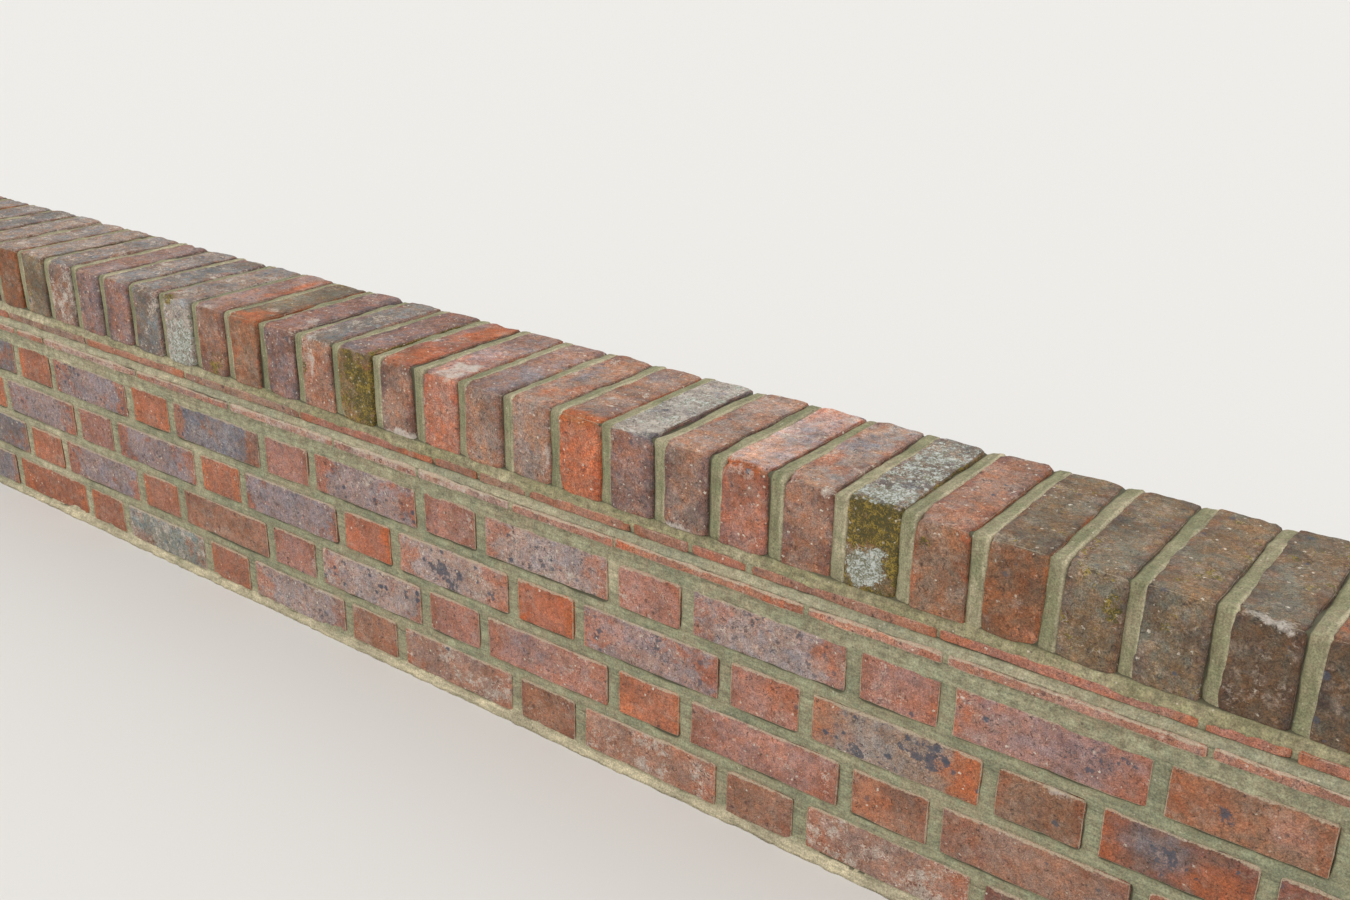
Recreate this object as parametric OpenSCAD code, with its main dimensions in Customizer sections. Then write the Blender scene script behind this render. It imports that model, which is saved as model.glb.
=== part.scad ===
// Low brick garden wall, one brick thick, in Flemish bond with plain stopped ends.
// It is finished with two courses of creasing tiles and a brick-on-edge coping.
// Millimetres. +X runs along the wall, -Y is the street side, +Z is up.
// The origin is on the ground line, under the middle of the wall.

/* [Brick] */
// Length of a brick, which is also the thickness of the wall
brick_length = 215; // [212:1:225]
// Width of a brick, seen as the length of a header
brick_width = 102.5; // [95:0.5:104]
// Height of a brick, seen as the width of a coping brick
brick_height = 65; // [50:1:73]
// Radius of the worn top edges of a coping brick
worn_radius = 8; // [2:1:20]

/* [Brickwork] */
// Number of stretcher and header pairs along the wall
bond_repeats = 9; // [4:1:12]
// Width of the upright joints between the wall's bricks
joint_width = 10; // [6:1:14]
// Thickness of the bed under each course
bed_height = 10; // [6:1:14]
// Width that the flush pointing laps over the ends of the bricks
upright_lap = 4; // [0:0.5:6]
// Height that the flush pointing laps over the tops and bottoms of the bricks
bed_lap = 2.5; // [0:0.5:4]
// Depth that upright joints stand back from the bricks
joint_recess = 2; // [1:0.5:5]
// Depth that the top of a weathered bed joint is struck back
struck_depth = 3; // [1:0.5:6]

/* [Creasing tiles] */
// Length of a full tile
tile_length = 265; // [240:5:290]
// Width of a full tile
tile_width = 165; // [150:5:180]
// Thickness of a tile
tile_thickness = 12; // [9:0.5:16]
// Width of the tight joints between tiles
tile_joint = 4; // [2:0.5:8]
// Depth that the tile joints stand back from the tile edges
tile_joint_recess = 5; // [2:1:8]
// Distance that the lower tiles stand out past the brickwork
lower_projection = 11; // [6:1:30]
// Distance that the upper tiles stand out past the brickwork
upper_projection = 4; // [0:1:5]
// Thickness of the bed under the lower tiles
lower_bed_height = 22.5; // [10:0.5:26]
// Thickness of the bed between the two courses of tiles
middle_bed_height = 10.5; // [8:0.5:16]

/* [Coping] */
// Height of the coping, which is the width of its bricks
coping_height = 105; // [95:0.5:112]
// Width aimed at for the joints between the bricks laid on edge
coping_joint_aim = 14; // [8:1:18]
// Thickness of the bed under the coping
coping_bed_height = 11.5; // [10:0.5:20]
// Depth that the coping joints stand back from the bricks
coping_recess = 3; // [1:0.5:6]

/* [Hidden] */
// Lengths that follow from the bond
bat_length = (brick_length + brick_width) / 2;
closer_width = (brick_length - brick_width) / 2 - joint_width;
wall_length = bond_repeats * (brick_length + brick_width + 2 * joint_width) + brick_length;
collar_width = brick_length - 2 * brick_width;
half_wall = brick_length / 2;
// Height of a brick that shows between the beds
face_height = brick_height - 2 * bed_lap;

// Coping joints share what the bricks leave of the wall's length
coping_count = round((wall_length + coping_joint_aim) / (brick_height + coping_joint_aim));
coping_groups = 5;
coping_joint = (wall_length - coping_count * brick_height) / (coping_count - 1);
coping_pitch = brick_height + coping_joint;

// Bond of each course from the ground up: stretcher, header, queen closer, three-quarter bat.
// The top two courses lose the bond near the right end and make it up with bats.
function times(text, count) = count <= 0 ? "" : str(text, times(text, count - 1));
BOND = [
    str("S", times("HS", bond_repeats)),
    str("HQS", times("HS", bond_repeats - 1), "QH"),
    str("S", times("HS", bond_repeats - 2), "HTTS"),
    str("HQS", times("HS", bond_repeats - 2), "TSH")
];
// Tiles from the left end: full, trimmed, width-ways and small cut pieces, over again as needed.
// One more piece, cut to fit, closes each course at the right end.
LOWER_TILES = "FFRCFRRWWWFWFR";
UPPER_TILES = "FRRRFFFCCWCCRFCR";
trimmed_length = 230;
small_cut_length = 80;
closing_piece = 60;

// Heights above the ground line
course_height = bed_height + brick_height;
brickwork_top = len(BOND) * course_height;
lower_tile_z = brickwork_top + lower_bed_height;
middle_bed_z = lower_tile_z + tile_thickness;
upper_tile_z = middle_bed_z + middle_bed_height;
coping_bed_z = upper_tile_z + tile_thickness;
coping_z = coping_bed_z + coping_bed_height;

BRICK_RED = "#a4553f";
BRICK_MAUVE = "#94696a";
COPING_RED = "#935846";
TILE_RED = "#bb6a52";
MORTAR = "#a29c7c";
FILLET = "#b1a67e";

// Length along the wall of one piece of the bond
function piece_length(kind) =
    kind == "S" ? brick_length :
    kind == "T" ? bat_length :
    kind == "Q" ? closer_width :
    brick_width;
// Left end of piece i of a course
function piece_start(bond, i) =
    i == 0 ? -wall_length / 2 : piece_start(bond, i - 1) + piece_length(bond[i - 1]) + joint_width;
// Ends of piece i as it shows between the upright joints; a stopped end has no pointing over it
function face_start(bond, i) = piece_start(bond, i) + (i == 0 ? 0 : upright_lap);
function face_end(bond, i) =
    piece_start(bond, i) + piece_length(bond[i]) - (i == len(bond) - 1 ? 0 : upright_lap);
// A stretcher or bat shows its long side, and a second one stands behind it
function is_paired(kind) = kind == "S" || kind == "T";

// Length along the wall of one kind of tile
function cut_length(kind) =
    kind == "F" ? tile_length :
    kind == "R" ? trimmed_length :
    kind == "W" ? tile_width :
    small_cut_length;
function tile_kind(tiles, i) = tiles[i % len(tiles)];
function tile_start(tiles, i, run) =
    i == 0 ? -run / 2 : tile_start(tiles, i - 1, run) + cut_length(tile_kind(tiles, i - 1)) + tile_joint;
// Number of tiles that fit whole before the piece that closes the course
function whole_tiles(tiles, run, i = 0) =
    tile_start(tiles, i + 1, run) + closing_piece > run / 2 ? i : whole_tiles(tiles, run, i + 1);
function tile_end(tiles, i, run) =
    i == whole_tiles(tiles, run) ? run / 2 : tile_start(tiles, i + 1, run) - tile_joint;

// First coping brick of a group
function group_first(group) = round(group * coping_count / coping_groups);

// A bar along the wall, from a profile drawn with Y across the wall and Z up
module bar(start, length) {
    translate([start, 0, 0])
        rotate([90, 0, 90])
            linear_extrude(length)
                children();
}

// A mortar bed whose faces slope from the half width at its foot to that at its top
module sloped_bed(z, height, foot, top, run) {
    bar(-run / 2, run)
        polygon([[-foot, z], [foot, z], [top, z + height], [-top, z + height]]);
}

// The pieces of one course that are of the given kinds
module course_bricks(course, kinds, tint) {
    bond = BOND[course];
    z = course * course_height + bed_height + bed_lap;
    color(tint)
        for (i = [0 : len(bond) - 1])
            if (len(search(bond[i], kinds)) > 0)
                for (side = is_paired(bond[i]) ? [-1, 1] : [0])
                    brick(face_start(bond, i), face_end(bond, i), side, z);
}

// One laid brick: side -1 is the street face, 1 the garden face, 0 goes right through
module brick(start, end, side, z) {
    depth = side == 0 ? brick_length : brick_width;
    y = side == 0 ? 0 : side * (half_wall - brick_width / 2);
    translate([start, y - depth / 2, z])
        cube([end - start, depth, face_height]);
}

// The bed under a course, its upright joints, and the collar joint between paired bricks
module course_mortar(course) {
    bond = BOND[course];
    low = course * course_height - (course == 0 ? 0 : bed_lap);
    high = course * course_height + bed_height + bed_lap;
    depth = brick_length - 2 * joint_recess;
    color(MORTAR) {
        sloped_bed(low, high - low, half_wall, half_wall - struck_depth, wall_length);
        for (i = [0 : len(bond) - 1]) {
            if (i > 0)
                translate([face_end(bond, i - 1), -depth / 2, high])
                    cube([face_start(bond, i) - face_end(bond, i - 1), depth, face_height]);
            if (is_paired(bond[i]))
                collar(bond, i, high);
        }
    }
}

// The joint down the middle of the wall, held back where it shows at a stopped end
module collar(bond, i, z) {
    start = face_start(bond, i) + (i == 0 ? joint_recess : 0);
    end = face_end(bond, i) - (i == len(bond) - 1 ? joint_recess : 0);
    translate([start, -collar_width / 2, z])
        cube([end - start, collar_width, face_height]);
}

// One row of tiles, from y_low to y_high
module tile_row(tiles, projection, z, y_low, y_high) {
    run = wall_length + 2 * projection;
    color(TILE_RED)
        for (i = [0 : whole_tiles(tiles, run)])
            translate([tile_start(tiles, i, run), y_low, z])
                cube([tile_end(tiles, i, run) - tile_start(tiles, i, run), y_high - y_low, tile_thickness]);
}

// The joints between the tiles of a course, and the one between its two rows
module tile_joints(tiles, projection, z, seam) {
    run = wall_length + 2 * projection;
    depth = brick_length + 2 * projection - 2 * tile_joint_recess;
    color(MORTAR) {
        translate([-run / 2 + tile_joint_recess, seam - tile_joint / 2, z])
            cube([run - 2 * tile_joint_recess, tile_joint, tile_thickness]);
        for (i = [1 : whole_tiles(tiles, run)])
            translate([tile_start(tiles, i, run) - tile_joint, -depth / 2, z])
                cube([tile_joint, depth, tile_thickness]);
    }
}

// Half widths of the two tile courses, and the seams between their rows, which break joint
lower_half = half_wall + lower_projection;
upper_half = half_wall + upper_projection;
lower_seam = -lower_half + tile_width + tile_joint / 2;
upper_seam = upper_half - tile_width - tile_joint / 2;

module lower_tiles_front() {
    tile_row(LOWER_TILES, lower_projection, lower_tile_z, -lower_half, lower_seam - tile_joint / 2);
}

module lower_tiles_back() {
    tile_row(LOWER_TILES, lower_projection, lower_tile_z, lower_seam + tile_joint / 2, lower_half);
}

module lower_tile_joints() {
    tile_joints(LOWER_TILES, lower_projection, lower_tile_z, lower_seam);
}

module upper_tiles_front() {
    tile_row(UPPER_TILES, upper_projection, upper_tile_z, -upper_half, upper_seam - tile_joint / 2);
}

module upper_tiles_back() {
    tile_row(UPPER_TILES, upper_projection, upper_tile_z, upper_seam + tile_joint / 2, upper_half);
}

module upper_tile_joints() {
    tile_joints(UPPER_TILES, upper_projection, upper_tile_z, upper_seam);
}

// Bed that carries the lower tiles
module creasing_bed() {
    color(MORTAR)
        sloped_bed(brickwork_top - bed_lap, lower_bed_height + bed_lap,
            half_wall, half_wall - struck_depth, wall_length);
}

// Fillet that sheds water from the upper tiles over the lower ones
module tile_fillet() {
    color(FILLET)
        sloped_bed(middle_bed_z, middle_bed_height, lower_half - joint_recess,
            upper_half - joint_recess, wall_length + 2 * (upper_projection - joint_recess));
}

// Bed that carries the coping, sloped back under it
module coping_bed() {
    color(FILLET)
        sloped_bed(coping_bed_z, coping_bed_height, upper_half - joint_recess,
            half_wall - struck_depth, wall_length - 2 * joint_recess);
}

// Outline of the coping across the wall, with both top edges worn round
module coping_profile(inset) {
    half = half_wall - inset;
    top = coping_z + coping_height - inset;
    translate([-half, coping_z])
        square([2 * half, top - worn_radius - coping_z]);
    translate([-half + worn_radius, coping_z])
        square([2 * (half - worn_radius), top - coping_z]);
    for (side = [-1, 1])
        translate([side * (half - worn_radius), top - worn_radius])
            circle(r = worn_radius, $fn = 48);
}

// The bricks on edge of one group
module coping_bricks(group) {
    color(COPING_RED)
        for (i = [group_first(group) : group_first(group + 1) - 1])
            bar(-wall_length / 2 + i * coping_pitch, brick_height)
                coping_profile(0);
}

// The joints to the right of each brick of a group
module coping_joints(group) {
    last = min(group_first(group + 1), coping_count - 1) - 1;
    color(MORTAR)
        for (i = [group_first(group) : last])
            bar(-wall_length / 2 + i * coping_pitch + brick_height, coping_joint)
                coping_profile(coping_recess);
}

course_mortar(0);  // course_1_mortar
course_bricks(0, "ST", BRICK_MAUVE);  // course_1_stretchers
course_bricks(0, "HQ", BRICK_RED);  // course_1_headers
course_mortar(1);  // course_2_mortar
course_bricks(1, "ST", BRICK_MAUVE);  // course_2_stretchers
course_bricks(1, "HQ", BRICK_RED);  // course_2_headers
course_mortar(2);  // course_3_mortar
course_bricks(2, "ST", BRICK_MAUVE);  // course_3_stretchers
course_bricks(2, "HQ", BRICK_RED);  // course_3_headers
course_mortar(3);  // course_4_mortar
course_bricks(3, "ST", BRICK_MAUVE);  // course_4_stretchers
course_bricks(3, "HQ", BRICK_RED);  // course_4_headers
creasing_bed();
lower_tiles_front();
lower_tiles_back();
lower_tile_joints();
tile_fillet();
upper_tiles_front();
upper_tiles_back();
upper_tile_joints();
coping_bed();
coping_bricks(0);  // coping_bricks_1
coping_bricks(1);  // coping_bricks_2
coping_bricks(2);  // coping_bricks_3
coping_bricks(3);  // coping_bricks_4
coping_bricks(4);  // coping_bricks_5
coping_joints(0);  // coping_joints_1
coping_joints(1);  // coping_joints_2
coping_joints(2);  // coping_joints_3
coping_joints(3);  // coping_joints_4
coping_joints(4);  // coping_joints_5
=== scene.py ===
"""Finish of a low brick garden wall: every brick, tile and joint of its CAD frame, made again and worn."""

import math
from itertools import product

import bpy
import numpy as np
from mathutils import Matrix, Vector


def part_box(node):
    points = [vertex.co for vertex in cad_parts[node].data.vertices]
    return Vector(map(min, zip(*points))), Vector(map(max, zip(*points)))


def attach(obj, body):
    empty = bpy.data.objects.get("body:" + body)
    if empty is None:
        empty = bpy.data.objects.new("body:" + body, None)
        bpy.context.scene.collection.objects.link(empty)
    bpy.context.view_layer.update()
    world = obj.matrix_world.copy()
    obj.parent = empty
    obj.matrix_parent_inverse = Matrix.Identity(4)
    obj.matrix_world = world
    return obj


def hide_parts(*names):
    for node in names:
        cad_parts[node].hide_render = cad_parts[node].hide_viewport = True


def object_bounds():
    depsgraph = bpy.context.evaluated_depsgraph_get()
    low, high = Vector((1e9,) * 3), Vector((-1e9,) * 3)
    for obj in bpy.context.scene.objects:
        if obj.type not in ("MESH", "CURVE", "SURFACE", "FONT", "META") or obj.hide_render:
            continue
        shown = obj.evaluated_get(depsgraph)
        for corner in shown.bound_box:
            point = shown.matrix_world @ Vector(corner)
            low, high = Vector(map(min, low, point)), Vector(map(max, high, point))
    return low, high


bl_info = {
    "name": "Brick garden wall finish",
    "version": (1, 0, 0),
    "blender": (4, 5, 0),
    "location": "3D View > Sidebar > Garden wall",
    "description": "Worn bricks, creasing tiles, pointing and coping for a low garden wall",
    "category": "Object",
}

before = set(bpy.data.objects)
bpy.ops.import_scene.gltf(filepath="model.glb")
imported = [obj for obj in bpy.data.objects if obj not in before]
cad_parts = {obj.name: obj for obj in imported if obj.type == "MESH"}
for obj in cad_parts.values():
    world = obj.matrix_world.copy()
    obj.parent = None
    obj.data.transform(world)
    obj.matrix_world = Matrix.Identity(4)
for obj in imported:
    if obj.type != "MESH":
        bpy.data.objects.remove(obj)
CAD_LOW, CAD_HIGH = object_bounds()

MM = 0.001
BODY = "root"
COURSES = 4
COPING_GROUPS = 5
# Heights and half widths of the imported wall, in millimetres
BRICKWORK_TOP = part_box("creasing_bed")[0].z / MM
HALF_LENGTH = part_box("course_1_mortar")[1].x / MM
HALF_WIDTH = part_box("course_1_mortar")[1].y / MM
COURSE_HEIGHT = (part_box("course_3_mortar")[0].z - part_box("course_2_mortar")[0].z) / MM
# Heights in a course between which its bricks show, and at which its bed starts
BRICK_LOW, BRICK_HIGH = (corner.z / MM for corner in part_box("course_1_stretchers"))
BED_LOW = BRICK_HIGH - COURSE_HEIGHT


def linear(code):
    """The linear red, green and blue of an sRGB hex colour such as #a4553f."""
    parts = [int(code[i : i + 2], 16) / 255 for i in (1, 3, 5)]
    return tuple(p / 12.92 if p <= 0.04045 else ((p + 0.055) / 1.055) ** 2.4 for p in parts)


# Finish of a brick: body colour, flashed colour, then shares from 0 to 1 of iron spots, white salts,
# pale flecks, pale bloom, moss and lichen
WALL_FINISHES = {
    "o": ("#a3694f", "#ad6a49", 0.10, 0.05, 0.25, 0.20, 0, 0),  # orange-red
    "e": ("#b26f54", "#bb683f", 0.00, 0.00, 0.20, 0.10, 0, 0),  # bright orange-red
    "r": ("#a87766", "#a26b55", 0.20, 0.15, 0.35, 0.35, 0, 0),  # pinkish red
    "b": ("#99705a", "#92644f", 0.25, 0.10, 0.20, 0.28, 0, 0),  # brown-red
    "t": ("#906950", "#8f5d42", 0.20, 0.10, 0.14, 0.22, 0, 0),  # tan brown
    "m": ("#98817b", "#a66b54", 0.70, 0.15, 0.40, 0.35, 0, 0),  # mauve, speckled
    "p": ("#a89188", "#ad7c69", 0.66, 0.20, 0.45, 0.38, 0, 0),  # pinkish mauve, speckled
    "v": ("#807574", "#966853", 0.50, 0.15, 0.30, 0.20, 0, 0),  # blue-grey mauve
    "k": ("#998577", "#9f7b64", 0.62, 0.10, 0.30, 0.25, 0, 0),  # blotched with dark blue
    "g": ("#88897f", "#997866", 0.30, 0.30, 0.20, 0.45, 0, 0),  # weathered grey
    "h": ("#a37a66", "#a56e55", 0.20, 0.20, 0.30, 0.52, 0, 0),  # salmon under a buff bloom
    "d": ("#7b5a4b", "#835546", 0.30, 0.05, 0.14, 0.15, 0, 0),  # plum-brown
}
# One letter for each piece of the bond, from the left end, for the courses from the ground up
COURSE_FINISHES = [
    "mobvoogopbhbhbhdkob",
    "ormovomobrprrorbbomro",
    "movomrmomepemrktddm",
    "ormovomovrmrprprrtbo",
]
COPING_FINISHES = {
    "b": ("#946e5a", "#825c4d", 0.20, 0.15, 0.75, 0.20, 0, 0),  # red-brown
    "o": ("#8d654b", "#9a5d3e", 0.20, 0.15, 0.28, 0.12, 0, 0),  # orange-brown
    "e": ("#b76d4c", "#aa5c3a", 0.10, 0.00, 0.30, 0.10, 0, 0),  # bright orange
    "a": ("#a07d69", "#996f5b", 0.25, 0.15, 0.50, 0.35, 0, 0),  # tan, dusty
    "p": ("#89695f", "#745a54", 0.35, 0.20, 0.75, 0.20, 0, 0),  # plum, white specks
    "c": ("#957669", "#8b6a5e", 0.25, 0.10, 0.50, 0.34, 0, 0),  # pinkish brown, dusty
    "d": ("#9f8779", "#957466", 0.25, 0.12, 0.50, 0.40, 0, 0),  # pale dusty pink
    "n": ("#7d6b54", "#745d4a", 0.35, 0.20, 0.22, 0.10, 0.18, 0),  # brown-grey
    # Painted shade: h, and w where it stands at the right end, are darker in part for the shade of plants
    # that lay over that end of the coping
    "h": ("#5f4c39", "#554133", 0.35, 0.20, 0.14, 0.06, 0.05, 0),  # dark plum-brown
    "w": ("#7f583e", "#8a5736", 0.30, 0.10, 0.22, 0.10, 0, 0),  # dark orange-brown
    "v": ("#7d736a", "#866a60", 0.40, 0.25, 0.30, 0.45, 0, 0.1),  # blue-grey
    "s": ("#957564", "#8b685c", 0.15, 0.35, 0.30, 0.55, 0, 0),  # white with salts
    "r": ("#a36d57", "#9d604b", 0.25, 0.15, 0.70, 0.14, 0, 0),  # pinkish red
    "m": ("#8a6c48", "#8f6c44", 0.10, 0.10, 0.40, 0.10, 0.66, 0.15),  # under mustard moss
    "l": ("#aa9b92", "#a08a80", 0.25, 0.30, 0.30, 0.80, 0.10, 0.50),  # under grey lichen
    "u": ("#877666", "#806a5e", 0.30, 0.15, 0.40, 0.25, 0.12, 0.56),  # brown-grey under green-grey lichen
    "g": ("#8d7d72", "#8d7264", 0.35, 0.25, 0.40, 0.44, 0, 0.06),  # bleached pink-grey
    "k": ("#cba99b", "#c39a8b", 0.45, 0.15, 0.40, 0.50, 0, 0),  # bleached salmon, dark specks
}
# Faces and tops of the coping bricks, from the left end
COPING_FACES = "bropbonbswnsppvlbopambraaepbrbmownnhhbnrb"
COPING_TOPS = "ggvgcggvggggcgvgcnpvprccaalakdubnnnnovbgr"
# Marks on single bricks of the courses: the course, the piece of the bond from the left end, the kind,
# where on the brick in shares of its half sizes, how far it reaches in mm along, across and up, and its share
WALL_MARKS = [
    (3, 14, "iron", (0.35, -1, 0.5), (34, 30, 26), 1.25),
    (3, 14, "iron", (-0.45, -1, -0.8), (26, 30, 12), 1.1),
    (3, 12, "iron", (0.1, -1, 0.3), (40, 30, 22), 1.0),
    (4, 12, "iron", (-0.2, -1, -0.1), (60, 30, 26), 1.0),
    (4, 14, "iron", (-0.3, -1, 0.2), (50, 30, 22), 0.9),
    (4, 16, "iron", (0.4, -1, 0.1), (50, 30, 24), 1.0),
    (3, 10, "iron", (-0.2, -1, -0.2), (50, 30, 22), 1.2),
    (3, 15, "salts", (0.4, -1, 0.9), (16, 20, 8), 0.6),
    (3, 14, "flash", (-1, -1, 0), (50, 30, 60), 0.4),
    (3, 14, "flash", (1, -1, 0), (44, 30, 60), 0.85),
    (2, 15, "burnt", (0.3, -1, 0.4), (26, 30, 20), 0.6),
    (2, 15, "flash", (-0.4, -1, -0.3), (30, 30, 26), 0.4),
    (2, 14, "salmon", (0.2, -1, 0.3), (50, 30, 22), 0.5),
    (2, 12, "mauve", (-0.3, -1, 0.2), (40, 30, 24), 0.5),
    (4, 15, "flash", (0.5, -1, -0.4), (30, 30, 22), 0.3),
    (4, 14, "flash", (0.8, -1, 0.2), (34, 30, 24), 0.3),
    (4, 12, "flash", (0.9, -1, -0.3), (26, 30, 24), 0.25),
    (4, 16, "flash", (-0.9, -1, 0), (26, 30, 30), 0.45),
    (3, 12, "salmon", (-0.6, -1, 0.2), (40, 30, 26), 0.5),
    (3, 13, "flash", (0.6, -1, 0.3), (30, 30, 24), 0.45),
    (3, 10, "flash", (0.95, -1, 0), (24, 30, 40), 0.5),
    (4, 16, "mauve", (-0.1, -1, 0), (110, 30, 60), 0.45),
    (4, 17, "flash", (-0.6, -1, 0.1), (44, 30, 34), 0.4),
    (4, 17, "salmon", (0.45, -1, 0.1), (26, 30, 22), 0.35),
    (4, 17, "iron", (-0.3, -1, -0.1), (12, 30, 12), 1.2),
    (3, 16, "flash", (-0.9, -1, 0), (30, 30, 40), 0.6),
    (3, 16, "flash", (0.6, -1, -0.4), (50, 30, 26), 0.6),
    (3, 16, "mauve", (-0.3, -1, 0.2), (42, 30, 24), 0.7),
    (3, 16, "iron", (-0.25, -1, 0), (30, 30, 18), 1.1),
]
# The same for the coping bricks, counted from the left end
COPING_MARKS = [
    (11, "salts", (0.3, -1, 0.1), (5, 20, 34), 0.6),
    (15, "lichen", (0.1, -1, -0.5), 50, 0.75),
    (15, "moss", (-0.5, -1, 0.9), 20, 0.6),
    (16, "moss", (0.2, -1, -0.6), 30, 0.5),
    (19, "moss", (-0.8, -1, 0.1), (7, 20, 30), 0.6),
    (19, "flash", (0.1, -1, -0.2), (30, 30, 46), 0.45),
    (19, "salts", (-0.3, -1, 0.2), (5, 20, 30), 0.6),
    (16, "salts", (-0.2, -0.95, 1), (20, 14, 7), 0.5),
    (16, "flash", (0.6, 0.3, 1), (12, 60, 8), 0.7),
    (17, "flash", (0.3, -0.9, 1), (40, 34, 9), 0.8),
    (17, "salts", (0.2, -0.45, 1), (12, 16, 6), 0.45),
    (18, "salts", (0.3, -0.5, 1), (12, 18, 6), 0.55),
    (19, "salts", (-0.3, -0.95, 1), (14, 10, 8), 0.55),
    (20, "mauve", (-0.1, -0.6, 1), (26, 40, 8), 0.4),
    (20, "moss", (0.9, -0.9, 1), (8, 18, 8), 0.8),
    (20, "moss", (0.35, -1, -0.15), (26, 40, 44), 1.1),
    (21, "mauve", (-0.8, 0.6, 1), (14, 54, 8), 0.5),
    (21, "flash", (0.4, 0.5, 1), (22, 46, 8), 0.8),
    (21, "flash", (0, -0.7, 1), (30, 48, 8), 0.75),
    (21, "salts", (-0.8, -0.05, 1), (6, 9, 5), 0.8),
    (21, "salts", (0.1, -1, -1.05), (50, 20, 17), 0.95),
    (22, "salts", (-1, -1, 0.1), (5, 14, 14), 0.8),
    (22, "salmon", (0, -0.5, 1), (36, 64, 8), 0.7),
    (22, "salts", (0.15, -0.7, 1), (26, 40, 12), 0.75),
    (23, "mauve", (0.3, -0.5, 1), (34, 76, 8), 0.42),
    (24, "mauve", (-0.3, 0.2, 1), (18, 40, 8), 0.5),
    (24, "flash", (0.5, -0.3, 1), (10, 30, 8), 0.6),
    (24, "flash", (-0.1, -0.65, 1), (14, 16, 8), 0.45),
    (24, "salts", (0.2, -0.85, 1), (8, 10, 6), 0.4),
    (25, "flash", (0, -0.98, 1), (42, 16, 10), 1.2),
    (25, "mauve", (-0.5, 0.75, 1), (22, 30, 8), 0.4),
    (25, "mauve", (0.5, -0.4, 1), (16, 40, 8), 0.4),
    (25, "salts", (-0.35, -0.3, 1), (5, 10, 5), 0.5),
    (26, "mauve", (0.1, 0.85, 1), (32, 34, 8), 0.6),
    (26, "mauve", (0.9, -0.9, 1), (12, 20, 8), 0.6),
    (26, "salts", (-0.2, -0.1, 1), (22, 50, 8), 0.45),
    (24, "salts", (0.85, -1, -0.15), (5, 14, 20), 0.6),
    (26, "salts", (0.2, -0.8, 1), (30, 30, 6), 0.6),
    (27, "salts", (-0.45, -1, -0.97), (26, 20, 8), 0.7),
    (27, "flash", (-0.8, -0.1, 1), (8, 16, 6), 0.6),
    (28, "salts", (-0.2, -1, 0.85), (34, 14, 10), 0.45),
    (28, "flash", (-0.3, 0.8, 1), (26, 50, 8), 0.5),
    (28, "mauve", (0.1, 0.1, 1), (24, 30, 8), 0.45),
    (28, "flash", (0, -1, 1), (42, 9, 9), 1.1),
    (29, "mauve", (-0.2, 0.25, 1), (20, 36, 8), 0.6),
    (29, "flash", (-0.6, -0.35, 1), (12, 26, 8), 0.6),
    (29, "flash", (0.3, -0.5, 1), (14, 14, 8), 0.5),
    (30, "mauve", (0.4, -0.45, 1), (16, 22, 8), 0.6),
    (29, "salts", (0.6, -1, 0.92), (12, 10, 8), 0.6),
    (28, "salmon", (0, -1, -0.2), (40, 30, 50), 0.35),
    (30, "moss", (0, -1, 0.2), (60, 40, 95), 1.05),
    (30, "lichen", (-0.2, -1, -0.38), (26, 24, 30), 0.95),
    (30, "lichen", (0.2, -1, -0.6), (18, 24, 14), 0.9),
    (30, "lichen", (0.1, -0.7, 1.0), (40, 32, 7), 0.8),
    (31, "moss", (-0.5, -1, 0.5), (9, 9, 11), 0.75),
    (32, "spall", (0.75, -1, -0.8), (18, 20, 14), 0.9),
    (33, "moss", (0.5, -1, 0.4), (12, 9, 22), 0.65),
    (35, "salts", (-0.3, -1, 1), (18, 14, 8), 0.7),
    (35, "salts", (0.4, -1, 1), (14, 12, 9), 0.7),
]
# Flakes lost from single coping bricks, in the same way
COPING_CHIPS = [(32, (0.9, -1, -1), 16, 2.2), (28, (-0.7, -1, 0.95), 10, 0.9), (35, (0.8, -1, 1), 12, 0.8)]


# Shapes

# Numbers that scatter the cells of the noise, for the axes and for the seed, and one that stirs the result
SCATTER = np.array([73856093, 19349663, 83492791])
SEED_SCATTER = 2654435761
STIR = 1274126177
WORD, PART = 0xFFFFFFFF, 0xFFFFFF
# How many cells the noise of one seed is shifted from that of the next
SEED_SHIFT = 37.7


def noise(points, size, seed):
    """Smooth noise from -1 to 1 that changes over about size, at points in the same unit.
    Each seed gives a noise of its own."""
    places = np.asarray(points, float) / size + SEED_SHIFT * seed
    cells = np.floor(places).astype(np.int64)
    shares = places - cells
    shares = shares * shares * (3 - 2 * shares)
    total = np.zeros(len(places))
    for corner in product((0, 1), repeat=3):
        mixed = np.bitwise_xor.reduce((cells + corner) * SCATTER, axis=1) ^ (seed * SEED_SCATTER)
        mixed = ((mixed ^ (mixed >> 13)) * STIR) & WORD
        mixed = (mixed ^ (mixed >> 15)) & PART
        total += np.prod(np.where(corner, shares, 1 - shares), axis=1) * mixed / PART
    return 2 * total - 1


def ease(low, high, value):
    """0 below low, 1 above high, and smooth between them."""
    share = np.clip((value - low) / (high - low), 0, 1)
    return share * share * (3 - 2 * share)


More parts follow.
